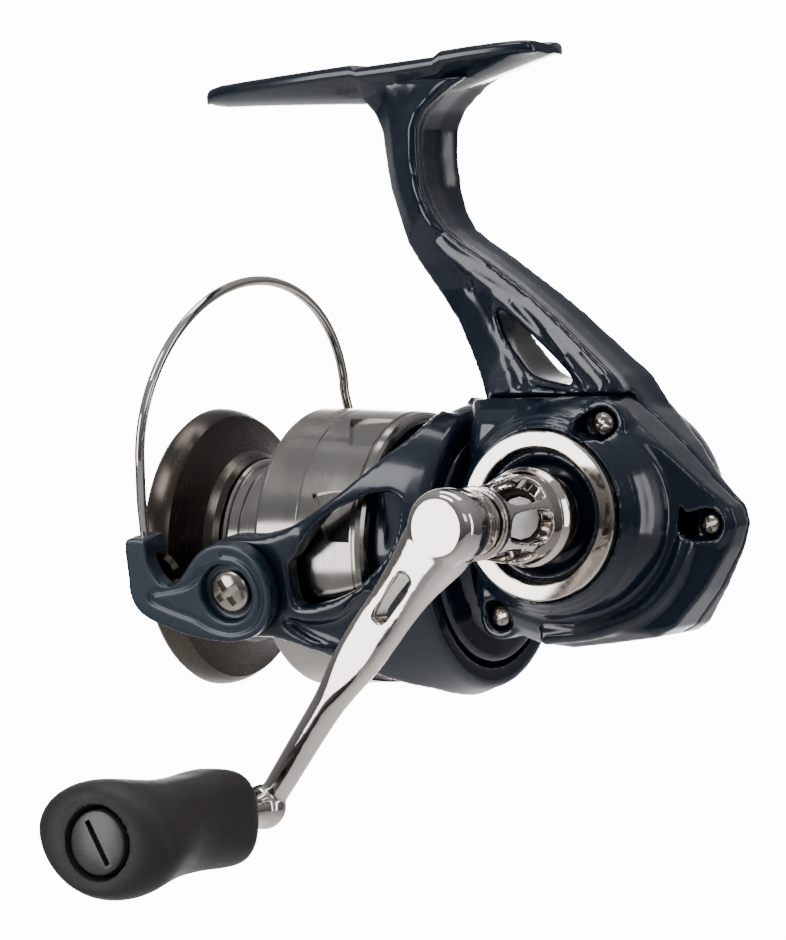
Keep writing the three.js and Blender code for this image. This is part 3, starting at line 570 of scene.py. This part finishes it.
def side_plate():
    """The cover on the handle's side, with its boss, its ridge and the wells of its screws."""
    block = worked(case_block(), [slab(-40, PARTING_Y + 0.25), slab(0, 40, z0=CASE_TOP - 0.2)])
    # A ridge runs from behind the boss down to the belly, with a smooth hollow in front of it.
    ridge_path = flowing([
        (-79.2, 7.0, 2.6), (-77.8, 8.0, -2.4), (-75.6, 9.0, -6.2), (-73, 9.6, -8.6),
        (-69.4, 10.4, -10.2), (-65, 11.2, -11.4), (-58, 11.6, -12),
    ], 5)
    ridge = tube(ridge_path, [(1.4, 1.3)] * len(ridge_path), 16)
    tab = tube([(-68.2, 8.0, 17.7), (-68.2, 11.3, 17.7)], 3.7, 32)
    pocket = tube([(-81.6, 3.0, 3.3), (-81.6, 6.2, 3.3)], 3.4, 32)
    corner = tube([(-50.4, 6.0, -9.4), (-50.4, 10.4, -9.4)], 3.4, 32)
    skin = joined(block, boss(1), ridge, tab, pocket, corner)
    # The hollow lies between a line down the tail and an arc round the boss.
    band = flowing([
        (-71.5, 15.0), (-76.4, 9.6), (-78.6, 5.4), (-77.8, 1.4), (-74.4, -4.6), (-70.6, -7.2),
    ], 4)
    arc = []
    for k in range(13):
        angle = math.radians(-52 + 102 * k / 12)
        arc.append((DRIVE[0] - 16.9 * math.cos(angle), DRIVE[1] + 16.9 * math.sin(angle)))
    cuts = [gear_hollow(), plate([*band, *[p for p in arc if p[1] > -7]], 9.0, 16)]
    for x, y, z, _, wide in SCREWS.values():
        well = [(y - 0.9, 0), (y - 0.9, wide - 0.4), (y + 4, wide + 0.3), (y + 4, 0)]
        cuts.append(turned(well, "Y", 48, (x, z)))
    # The upper and the rear screw each sit in the rear end of a longer oval well.
    for x, z, half, y in ((-67.6, 17.8, 2.5, 10.0), (-81, 3.3, 2.9, 4.5)):
        oval = []
        for k in range(24):
            angle = k * math.tau / 24
            oval.append((x + half * math.cos(angle), z + 2.1 * math.sin(angle)))
        cuts.append(plate(oval, y, y + 8))
    cuts += [rod(7.4, 11.7, 5.9, "Y", 64, DRIVE), rod(11, 20, 4.4, "Y", 64, DRIVE)]
    cuts.append(rod(-47.2, -30, 13.4, "X", 96))
    return worked(skin, cuts, voxel=0.34, rounding=4)


piece("casting_foot_stem_case", body_frame(), ENAMEL, "frame", "navy_paint", "body_frame", sharp=60)
piece("gear_case_side_plate", side_plate(), ENAMEL, "frame", "navy_paint", "side_plate", sharp=60)
TRIM_RING = [
    (15.1, 9.6), (16.8, 9.6), (17.0, 9.72), (17.1, 9.9), (17.2, 11.75), (17.1, 11.95),
    (16.8, 12.05), (15.1, 12.05),
]
made = turned(TRIM_RING, "Y", 160, DRIVE)
piece("polished_trim_ring", made, NICKEL, "frame", "nickel_plate", "trim_ring", sharp=12)
for name, (x, y, z, r, _) in SCREWS.items():
    made = pan_screw(x, y, z, r, 6, 0.35 + x)
    piece(name + "_head", made, STAINLESS, "frame", "nickel_plate", name)
FAR_CAP = [
    (-13.6, 0), (-13.6, 3.6), (-15.9, 3.9), (-16.2, 6.4), (-16.5, 6.9), (-18.2, 6.75), (-18.8, 6.4),
    (-19.5, 4.6), (-19.6, 4.2), (-19.2, 3.9), (-19.2, 0),
]
coin_slot = plate([(-70, 4.7), (-50, 4.7), (-50, 5.9), (-70, 5.9)], -22, -19.0)
made = worked(turned(FAR_CAP, "Y", 96, DRIVE), [coin_slot])
piece("far_side_screw_cap", made, NICKEL, "crank", "nickel_plate", "far_side_cap")


# --- Rotor ---------------------------------------------------------------------------------------
# A rotor arm in XZ, with its window and the recess beside it, and how far out its flat face lies.
ARM_EDGE = [
    (-14.5, 7.5), (-19, 7.4), (-24.8, 9.0), (-30, 12), (-34.6, 15.4), (-39, 18.9), (-43.4, 21.6),
    (-43.4, -21.6), (-39, -18.2), (-34.5, -15.2), (-30.5, -12), (-25.2, -9.2), (-19, -7.5),
    (-14.5, -7.5), (-10, -6), (-7.6, -2.9), (-7.0, 0), (-7.6, 2.9), (-10, 6),
]
ARM_WINDOW = [
    (-23.7, 3.2), (-24.9, 4.6), (-29.2, 9.6), (-33.6, 11.8), (-37.8, 12.8), (-40.4, 11.2),
    (-39.8, 5.6), (-35.4, 0.6), (-31.1, -1.6), (-25.5, -2.9), (-24, -2),
]
ARM_RECESS = [
    (-21.4, -4.4), (-25.6, -5.1), (-31, -4.4), (-36.4, -0.6), (-38.6, -4), (-38, -12.4),
    (-31, -9.6), (-25, -7.4),
]
ARM_FLAT = 24.3
RECESS_FLOOR = 22.9


def rotor_arm(side):
    """One arm of the rotor, cut from a turned shell with a flat outside."""
    low, high = sorted((side * 4, side * 30))
    sheet = plate(flowing(ARM_EDGE, 3, True), low, high)
    outer = turned([
        (-43.4, 0), (-43.4, 20.9), (-41, 21.8), (-36, 23.4), (-29, 25.2), (-22, 26.4), (-5, 26.8),
        (-5, 0),
    ], "X", 128)
    flat = slab(-ARM_FLAT, ARM_FLAT, -60, 10, -40, 40)
    cuts = [rod(-36.4, 20, 21.5, "X", 128), rod(-60, 20, 18.4, "X", 96)]
    low, high = sorted((side * RECESS_FLOOR, side * 40))
    cuts.append(plate(flowing(ARM_RECESS, 4, True), low, high))
    return worked(sheet, cuts, common=[outer, flat])


def rotor():
    """The cup with both arms."""
    cup = turned([
        (-31, 3.3), (-31, 15.2), (-38.6, 15.2), (-38.8, 17.55), (-44.2, 17.6), (-44.25, 20),
        (-43.7, 20.7), (-42, 20.95), (-40.6, 20.7), (-40.2, 20.2), (-38.4, 19.6), (-36.9, 18.9),
        (-36.4, 17.3), (-25, 17.3), (-24.6, 16.6), (-24.6, 15.4), (-28.4, 15.4), (-28.4, 7),
        (-27.4, 6), (-27.4, 3.3),
    ], "X", 160)
    skin = joined(cup, rotor_arm(1), rotor_arm(-1))
    bore = rod(-40, 40, 1.4, "Y", 32, (PIVOT_X, 0))
    window = flowing(ARM_WINDOW, 5, True)
    cuts = [bore, plate(window, 17, 40), plate(window, -40, -21.9)]
    return worked(skin, cuts, voxel=0.38, rounding=7)


# Where the heads of the bail's screws rest on its arms, to either side.
PIVOT_SEAT = 25.7

piece("rotor_with_arms", rotor(), ENAMEL, "rotor", "navy_paint", "rotor", on_rotor=True, sharp=60)
for side, name in ((1, "bail_pivot_screw"), (-1, "bail_pivot_screw_far")):
    made = pan_screw(PIVOT_X, side * PIVOT_SEAT, 0, 3.15, 4, 0.55, side)
    piece(name + "_head", made, STAINLESS, "rotor", "nickel_plate", name, on_rotor=True)

# --- Bail ----------------------------------------------------------------------------------------
# The inner faces of the bail arm and the far lever, to either side, and the wire's radius.
BAIL_INSIDE = 24.62
WIRE_RADIUS = 0.73
# The bail arm in XZ.
BAIL_EDGE = [
    (-16.6, 7.2), (-13, 7.1), (-10.2, 5.7), (-8, 3.4), (-6.2, 1.6), (-4.4, 1), (-2.8, 2.2),
    (-1.8, 4.4), (-1.7, 6.4), (-1.6, 7.8), (0.2, 8.1), (1.6, 7.9), (2, 6.4), (2.1, 3), (2.1, -0.9),
    (0.3, -3.5), (-4.2, -5.5), (-9, -6.8), (-14.5, -7.3), (-18.6, -6.2), (-21.1, -3.5), (-21.9, 0),
    (-21.1, 3.5), (-19.5, 5.8),
]
# The creases of the raised comma: out from the screw's recess along its tail and back.
COMMA = [
    (-11.0, 3.6), (-9.6, 2.1), (-7.4, 0.9), (-3.6, 0.2), (-1.7, -0.1), (-1.2, -0.7), (-1.9, -1.5),
    (-4.9, -2.7), (-8.4, -3.9), (-11, -5.2), (-14.5, -5.9), (-18, -4.9), (-20, -2.3), (-20.4, 0.6),
    (-19.2, 3.6), (-17, 5.3), (-14.4, 5.7),
]


def bail_arm():
    """The near arm: a plate with the hook that holds the line roller."""
    body = plate(flowing(BAIL_EDGE, 4, True), BAIL_INSIDE, 27.3)
    hook = plate([(-1.7, 5.4), (-1.6, 7.8), (1.6, 7.9), (2, 5.4)], 21.9, 26.2)
    crease = tube([(x, 27.45, z) for x, z in flowing(COMMA, 5)], 0.4, 10)
    seat = turned([
        (25.6, 0), (25.6, 4.25), (26.9, 4.35), (30, 4.6), (30, 0),
    ], "Y", 96, (PIVOT_X, 0))
    bore = rod(20, 30, 1.5, "Y", 32, (PIVOT_X, 0))
    return worked(joined(body, hook), [seat, bore, crease], voxel=0.2, rounding=4)


def bail_lever():
    """The far arm."""
    outline = [
        (-16.2, 5.6), (-12, 6.6), (-8, 10.2), (-6.2, 11), (-4.6, 9.6), (-6.6, 5.4), (-8.6, 0),
        (-10, -3.8), (-14.5, -5.8), (-18.6, -4.1), (-20.3, 0), (-19, 3.7),
    ]
    body = plate(flowing(outline, 4, True), -26.8, -BAIL_INSIDE)
    seat = turned([(-30, 0), (-30, 3.7), (-25.6, 3.6), (-25.6, 0)], "Y", 64, (PIVOT_X, 0))
    bore = rod(-30, -20, 1.5, "Y", 32, (PIVOT_X, 0))
    return worked(body, [seat, bore], voxel=0.2, rounding=4)


def bail_wire():
    """The wire: up from the hook, round in a half oval that leans back, and down to the lever."""
    points = [(0.4, 24, 6.2), (0.3, 24, 9), (0.1, 24, 13)]
    for i in range(29):
        angle = math.pi * i / 28
        y, z = 25.2 * math.cos(angle) - 1.2, 17.6 + 22.3 * math.sin(angle)
        points.append((0.4 - 0.1 * (24 - y) - 0.087 * (z - 7.6), y, z))
    points += [
        (-5.6, -27.2, 13.4), (-6.1, -28.1, 10.6), (-6.35, -28.4, 9.5), (-6.4, -27.6, 9.2),
        (-6.4, -25, 9.2),
    ]
    return tube(flowing(points, 4), WIRE_RADIUS, 20)


for name, made, node_name in (
    ("bail_arm_with_hook", bail_arm(), "bail_arm"),
    ("bail_lever_far", bail_lever(), "bail_lever"),
):
    piece(name, made, SATIN_ENAMEL, "bail", "satin_navy_paint", node_name, on_rotor=True, sharp=60)
piece("bail_wire_round", bail_wire(), NICKEL, "bail", "nickel_plate", "bail_wire", on_rotor=True)

# --- Spool ---------------------------------------------------------------------------------------
# The flat pockets milled round the skirt: how many, and their outline.
POCKETS = 8
POCKET = [(-24.4, -3.4), (-26.2, 0.5), (-27.6, 3.6), (-31.3, 3.7), (-31.3, -3.9), (-27.5, -3.9)]
# The flutes round the drag knob's rim.
FLUTES = 18


def spool_body():
    """The skirt and the arbor in one."""
    profile = [
        (-9.4, 2.3), (-9.4, 10.9), (-4.8, 10.9), (-4.8, 12.9), (-5.2, 13.1), (-5.6, 12.9),
        (-5.8, 12.6), (-7.4, 12.6), (-7.6, 12.35), (-7.9, 12.35), (-8.1, 12.6), (-10.4, 12.6),
        (-10.6, 12.4), (-10.9, 12.4), (-11.1, 12.6), (-14.9, 12.6), (-15.4, 12.9), (-15.4, 20.0),
        (-15.55, 20.4), (-15.95, 20.57), (-22.2, 20.35), (-22.3, 20.25), (-22.5, 20.25),
        (-22.6, 20.33), (-31.5, 19.9), (-31.65, 19.6), (-31.95, 19.6), (-32.1, 19.85),
        (-32.9, 19.7), (-33.35, 19.3), (-33.5, 18.9), (-33.5, 18.2), (-19, 18.2), (-18, 17.6),
        (-18, 6), (-22, 6), (-22, 2.3),
    ]
    body = turned(profile, "X", 192)
    cutters = []
    for k in range(POCKETS):
        notch = plate(POCKET, 19.3, 23, "Z")
        cutters.append(turn(notch, math.tau * (k + 0.35) / POCKETS, "X"))
    return worked(body, cutters)


def spool_lip():
    """The ring that the line runs out over."""
    return turned([
        (-4.6, 11), (-4.6, 13.3), (-3.9, 13.9), (-3.4, 14.0), (-2.6, 14.4), (-1.2, 16.6),
        (-0.15, 19.2), (0.0, 19.7), (0.5, 20.1), (1.3, 20.5), (2.4, 20.8), (3.2, 20.85),
        (3.9, 20.4), (4.2, 19.8), (4.1, 18.6), (2.6, 12.9), (2.5, 11),
    ], "X", 192)


def drag_knob():
    """The drag's dial: a fluted disc with a bar to hold it by."""
    body = turned([
        (-3.4, 2.1), (-3.4, 10.2), (2.4, 10.2), (2.7, 11.7), (3.1, 12.1), (4.6, 12.3), (6.0, 11.7),
        (6.6, 10.8), (6.9, 9.4), (6.6, 9.0), (6.6, 0), (6.4, 0), (6.4, 2.1),
    ], "X", 96)
    grip = plate([(5.8, -2.2), (9.4, -1.4), (9.4, 1.4), (5.8, 2.2)], -10.6, 10.6, "Z")
    dome = turned([(5, 0), (5, 10.9), (7.6, 10.2), (8.8, 8.6), (9.5, 5), (9.6, 0)], "X", 96)
    grip = worked(grip, common=[dome])
    cutters = []
    for k in range(FLUTES):
        angle = math.tau * k / FLUTES
        y, z = 13.0 * math.cos(angle), 13.0 * math.sin(angle)
        cutters.append(rod(2.3, 7.5, 1.05, "X", 16, (y, z)))
    return worked(joined(body, grip), cutters, voxel=0.2, rounding=3)


piece(
    "spool_skirt_and_arbor", spool_body(), SPOOL_METAL,
    "spool", "aluminium", "spool_body", sharp=16,
)
piece(
    "spool_front_lip", spool_lip(), SMOKE_ANODISING,
    "spool", "gunmetal_anodising", "spool_flange", sharp=28,
)
piece(
    "drag_adjusting_knob", drag_knob(), SMOKE_ANODISING,
    "drag_knob", "gunmetal_anodising", "drag_knob", sharp=50,
)


# --- Handle --------------------------------------------------------------------------------------
# The windows round the sleeve, and the radius inside which its faces are bore, in metres; those
# faces take the near-black painted shade.
SLEEVE_WINDOWS = 6
SLEEVE_BORE = 0.00445


def on_arm(bm):
    """A mesh drawn with the handle along X, put in its place."""
    return move(turn(bm, -ARM_ANGLE, "Y"), DRIVE[0], 0, DRIVE[1])


def across_arm(bm):
    """A mesh drawn along X round the origin, put where the cross pin runs."""
    return move(turn(bm, math.pi / 2, "Y"), 0, PIN_Y, 0)


def hub_sleeve():
    """The sleeve between the gear case and the handle."""
    profile = [
        (14.6, 3.2), (14.6, 5.6), (16.5, 6.2), (18.2, 6.4), (18.8, 6.9), (19.4, 7.1), (20.4, 7.1),
        (21.0, 6.8), (21.5, 6.55), (26, 6.1), (31, 5.35), (33.6, 5.0), (34.4, 5.15), (35, 5.2),
        (35, 4), (22.6, 4.1), (22.6, 3.2),
    ]
    body = turned(profile, "Y", 96)
    oval = [
        (-1.5, 24.1), (1.5, 24.1), (2.35, 25.8), (2.1, 30.9), (1.1, 32.9), (-1.1, 32.9),
        (-2.1, 30.9), (-2.35, 25.8),
    ]
    cutters = []
    for k in range(SLEEVE_WINDOWS):
        window = plate(flowing(oval, 3, True), 3.2, 12, "Z")
        cutters.append(turn(window, math.radians(360 / SLEEVE_WINDOWS * k + 20), "Y"))
    return move(worked(body, cutters, voxel=0.19, rounding=5), DRIVE[0], 0, DRIVE[1])


def handle_arm():
    """The swept arm with its slot, its round head on the sleeve and the stub for the knob."""
    # (Distance from the drive shaft, place along Y, half width, half thickness.)
    stations = [
        (-3.4, 41.3, 2.6, 2.6), (-1.8, 41.3, 3.6, 3.6), (0, 41.2, 4.2, 4.2), (2.2, 41.3, 4.5, 4.1),
        (4.6, 41.6, 4.4, 3.75), (7.2, 42, 4.0, 3.15), (10, 42.4, 3.65, 2.5), (14, 42.7, 3.45, 1.95),
        (19, 43.0, 3.4, 1.9), (24, 43.0, 3.1, 1.95), (28, 42.9, 2.6, 2.0), (32, 42.7, 2.3, 2.05),
        (38, 42.2, 2.15, 2.05), (44, 41.6, 2.05, 2.0), (48, 41.2, 1.95, 1.95), (50, 41, 1.9, 1.9),
    ]
    path = flowing([(s, y, 0) for s, y, _, _ in stations], 3)
    wide = flowing([(w, t, 0) for _, _, w, t in stations], 3)
    powers = [5.0 - 3.0 * min(1, max(0, (s - 22) / 9)) for s, _, _ in path]
    blade = tube(path, [(w, t) for w, t, _ in wide], 56, powers)
    crown = turned([
        (35.3, 0), (35.3, 4.2), (35.7, 4.6), (37.2, 4.5), (38.2, 4.8), (40, 5.25), (42.4, 5.4),
        (43.8, 5.3), (44.7, 4.95), (45.25, 4.4), (45.4, 3.8), (45.4, 0),
    ], "Y", 96)
    end = joined(
        ball(3.2, (ARM_LENGTH, TIP_Y + 0.8, 0)),
        turned([
            (TIP_Y, 0), (TIP_Y, 2.6), (44.6, 2.5), (45, 2.3), (48.4, 2.3), (48.4, 0),
        ], "Y", 48, (ARM_LENGTH, 0)),
    )
    slot = flowing([
        (8.4, 0.2), (9.2, 1.1), (15.4, 1), (16.2, 0), (15.4, -1), (9.2, -1.1), (8.4, -0.2),
    ], 3, True)
    cuts = [plate(slot, 30, 60), across_arm(rod(-12, 12, 1.05, "X", 32))]
    return on_arm(worked(joined(blade, crown, end), cuts, voxel=0.24, rounding=6))


def cross_pin():
    """The pin through the sleeve and the handle's root."""
    pin = [(-4.8, 0), (-4.8, 0.7), (-4.6, 0.95), (4.6, 0.95), (4.8, 0.7), (4.8, 0)]
    return on_arm(across_arm(turned(pin, "X", 32)))


# The grip's sections: (place, half width, half height, how square the section is).
GRIP = [
    (50.8, 4.2, 4.4, 2.3), (51.1, 5.0, 5.4, 2.4), (52.2, 5.8, 6.2, 2.8), (54, 6.2, 6.7, 3.2),
    (57, 6.3, 6.7, 3.2), (60.5, 6.4, 6.5, 3.0), (64, 6.8, 6.5, 2.5), (68, 7.8, 6.7, 2.1),
    (72, 9.1, 7.2, 1.9), (75.5, 10.2, 7.7, 1.8), (78.5, 10.8, 8.0, 1.8), (80.4, 10.3, 7.8, 1.85),
    (81.8, 8.9, 7.3, 1.95), (82.4, 7.2, 6.7, 2.0), (KNOB_FACE, 5.6, 5.6, 2.0),
]


def handle_knob():
    """The grip, lofted along its spindle, with the cap's seat and the spindle's bore."""
    sections = flowing([(y, wide, tall) for y, wide, tall, _ in GRIP], 3)
    powers = flowing([(p, 0, 0) for _, _, _, p in GRIP], 3)
    rings = []
    for (y, across, tall), (power, _, _) in zip(sections, powers):
        # The palm swell leans: its long axis turns as it grows towards the face.
        swell = min(1, max(0, (y - 62) / 16))
        lean = math.radians(12) * swell
        ring = []
        for k in range(96):
            angle = math.tau * k / 96
            c, d = math.cos(angle), math.sin(angle)
            soft = reach(c, d, power)
            a, b = across * soft * c, tall * soft * d
            x = a * math.cos(lean) - b * math.sin(lean)
            z = a * math.sin(lean) + b * math.cos(lean)
            ring.append((KNOB[0] + x + 0.5 * swell, y, KNOB[1] + z))
        rings.append(ring)
    body = loft(rings)
    seat = [(78.5, 0), (78.5, 4.7), (81.3, 4.75), (81.4, 5.0), (84, 5.1), (84, 0)]
    cuts = [turned(seat, "Y", 96, KNOB), rod(40, 80, 2.2, "Y", 48, KNOB)]
    return worked(body, cuts, voxel=0.3, rounding=3)


def knob_cap():
    """The slotted cap in the knob's face."""
    profile = [(-3.4, 0), (-3.4, 4.4), (-0.6, 4.4), (-0.25, 4.2), (-0.15, 3.9), (-0.15, 0)]
    body = turned([(KNOB_FACE + along, r) for along, r in profile], "Y", 96)
    slot = [(-3.3, -0.42), (3.3, -0.42), (3.3, 0.42), (-3.3, 0.42)]
    slot = turn(plate(slot, KNOB_FACE - 1, KNOB_FACE + 2), math.radians(118), "Y")
    return move(worked(body, [slot]), KNOB[0], 0, KNOB[1])


sleeve = piece(
    "handle_hub_sleeve", hub_sleeve(), NICKEL, "crank", "nickel_plate", "hub_sleeve", sharp=60
)
# A second material paints the shade inside the sleeve's bore near-black on the faces within the
# bore's radius.
sleeve.data.materials.append(BORE_PAINTED_SHADE)
axis = TO_FRAME @ Vector((DRIVE[0], 0, DRIVE[1]))
for face in sleeve.data.polygons:
    if math.hypot(face.center.x - axis.x, face.center.z - axis.z) < SLEEVE_BORE:
        face.material_index = 1
piece("handle_arm_swept", handle_arm(), NICKEL, "crank", "nickel_plate", "handle_arm", sharp=60)
piece("handle_cross_pin", cross_pin(), STAINLESS, "crank", "nickel_plate", "cross_pin")
piece("handle_knob_grip", handle_knob(), RUBBER, "knob", "rubber", "handle_knob", sharp=40)
piece("handle_knob_cap", knob_cap(), CAP_PLASTIC, "knob", "gunmetal_anodising", "knob_cap")

# --- Inner pieces keep their machined shapes and get their finishes ------------------------------
INNER = {
    SMOKE_ANODISING: ["line_roller"],
    STAINLESS: [
        "drive_bearing_handle_side", "drive_bearing_far_side", "pinion_bearing", "one_way_clutch",
        "main_shaft", "rotor_nut", "bail_spring", "roller_screw", "drag_washer_keyed",
        "drag_washer_eared", "drag_retainer", "knob_spindle",
    ],
    BRASS: ["clutch_cover", "oscillation_gear", "pinion_gear", "click_gear"],
    CAST: ["drive_gear", "oscillation_slider"],
    FELT: ["drag_felt_1", "drag_felt_2", "drag_felt_3"],
    ENAMEL: ["bail_spring_cover"],
}
for material, names in INNER.items():
    for name in names:
        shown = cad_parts[name]
        shown.data.materials.clear()
        shown.data.materials.append(material)

# --- Studio --------------------------------------------------------------------------------------
# Matt white painted floor that curves up into a wall: no grain that would compete with the reel.
FLOOR = surface("matt_white_floor_paint", "#f0efee", "#ebeae9", (0.85, 0.95), 3.0, 0.02, 60.0)
# Opal acrylic lit from behind, which stands in front of the wall and blows out to white.
OPAL_GLOW = 13.0
OPAL = surface(
    "opal_acrylic_lit_from_behind", "#fbfbfb", "#f8f8f8", (0.4, 0.5), 3.0, 0.005, 60.0,
    **{"Emission Color": linear("#ffffff"), "Emission Strength": OPAL_GLOW},
)
# The middle of the reel, and the camera's own directions as seen from there, in metres.
CENTRE = Vector((-0.01, 0.02, -0.06))
TOWARDS = Vector((-0.512, 0.858, 0.037))
RIGHT = Vector((-0.859, -0.511, -0.034))
UP = Vector((0, 0, 1))
# The floor and wall as (distance behind the reel, height above the floor), their width and level.
WALL = [(-2.6, 0.0), (0.6, 0.0), (1.4, 0.04), (2.0, 0.25), (2.3, 0.8), (2.35, 2.6)]
AWAY = Vector((0.51, -0.86, 0)).normalized()
ACROSS = Vector((-AWAY.y, AWAY.x, 0))
SWEEP_WIDTH = 6
FLOOR_LEVEL = -0.95
# The lit panel's middle, width and half its height.
PANEL = Vector((0.866, -1.441, -0.122))
PANEL_WIDTH = 0.72
PANEL_RISE = 0.4


def stage_sheet(name, lines, across, material):
    """A sheet drawn along a line of points and swept sideways, as part of the stage."""
    sheet = bmesh.new()
    verts = [sheet.verts.new(p) for p in lines]
    edges = [sheet.edges.new(pair) for pair in zip(verts, verts[1:])]
    push(sheet, bmesh.ops.extrude_edge_only(sheet, edges=edges), across)
    made = hold(sheet, name)
    made.data.materials.append(material)
    for face in made.data.polygons:
        face.use_smooth = True


curve = flowing([(a, b, 0) for a, b in WALL], 8)
side = ACROSS * (SWEEP_WIDTH / 2)
floor_line = [AWAY * a - side + Vector((0, 0, FLOOR_LEVEL + b)) for a, b, _ in curve]
stage_sheet("studio_sweep", floor_line, ACROSS * SWEEP_WIDTH, FLOOR)
side = ACROSS * (PANEL_WIDTH / 2)
panel_line = [PANEL - side + Vector((0, 0, level)) for level in (-PANEL_RISE, PANEL_RISE)]
stage_sheet("backlit_panel", panel_line, ACROSS * PANEL_WIDTH, OPAL)


def softbox(name, right, up, near, size, power):
    """An area light at a place given as right, up and near as the camera sees it, in metres."""
    data = bpy.data.lights.new(name, "AREA")
    data.shape = "RECTANGLE"
    data.size, data.size_y = size
    data.energy = power
    lamp = bpy.data.objects.new(name, data)
    bpy.context.scene.collection.objects.link(lamp)
    lamp.location = CENTRE + RIGHT * right + UP * up + TOWARDS * near
    lamp.rotation_euler = (CENTRE - lamp.location).to_track_quat("-Z", "Y").to_euler()


# Name, place, size and power in watts.
softbox("side_left", -0.86, -0.02, 0.46, (0.4, 0.6), 4.2)
softbox("key_high_left", -0.45, 0.85, 0.5, (0.5, 0.4), 3.4)
softbox("strip_right", 0.9, 0.1, 0.3, (0.16, 0.8), 1.6)
softbox("overhead", 0.1, 0.95, -0.2, (0.8, 0.4), 3.6)
softbox("front_fill", 0.35, 0.35, 1.0, (0.5, 0.3), 0.9)

world = bpy.data.worlds.new("studio_room")
world.use_nodes = True
tree = world.node_tree
tree.nodes.clear()
# The room: dark towards the floor and light towards the ceiling.
ray = node(tree, "ShaderNodeTexCoord").outputs["Generated"]
height = node(tree, "ShaderNodeSeparateXYZ", {"Vector": ray}).outputs["Z"]
rise = node(tree, "ShaderNodeMapRange", {"Value": height, "From Min": -0.4, "From Max": 0.9})
room = node(tree, "ShaderNodeValToRGB", {"Fac": rise.outputs["Result"]})
room.color_ramp.elements[0].color = linear("#3c3c3e")
room.color_ramp.elements[1].color = linear("#c4c6ca")
backdrop = node(tree, "ShaderNodeBackground", {"Color": room.outputs["Color"], "Strength": 0.75})
node(tree, "ShaderNodeOutputWorld", {"Surface": backdrop.outputs["Background"]})
bpy.context.scene.world = world

# --- Camera --------------------------------------------------------------------------------------
# Its right, up and backward directions, one to a row, and its place.
CAMERA_AXES = Matrix((
    (-0.85872, -0.51135, -0.03356), (-0.00977, -0.04914, 0.99874), (-0.51236, 0.85797, 0.03721),
))
CAMERA_PLACE = (-0.31177, 0.53225, -0.03647)
camera_data = bpy.data.cameras.new("camera")
camera_data.lens = 160.85
camera_data.sensor_width = 36
camera_data.clip_end = 20
camera = bpy.data.objects.new("camera", camera_data)
bpy.context.scene.collection.objects.link(camera)
turned_to = CAMERA_AXES.transposed().to_4x4()
camera.matrix_world = Matrix.Translation(CAMERA_PLACE) @ turned_to
bpy.context.scene.camera = camera
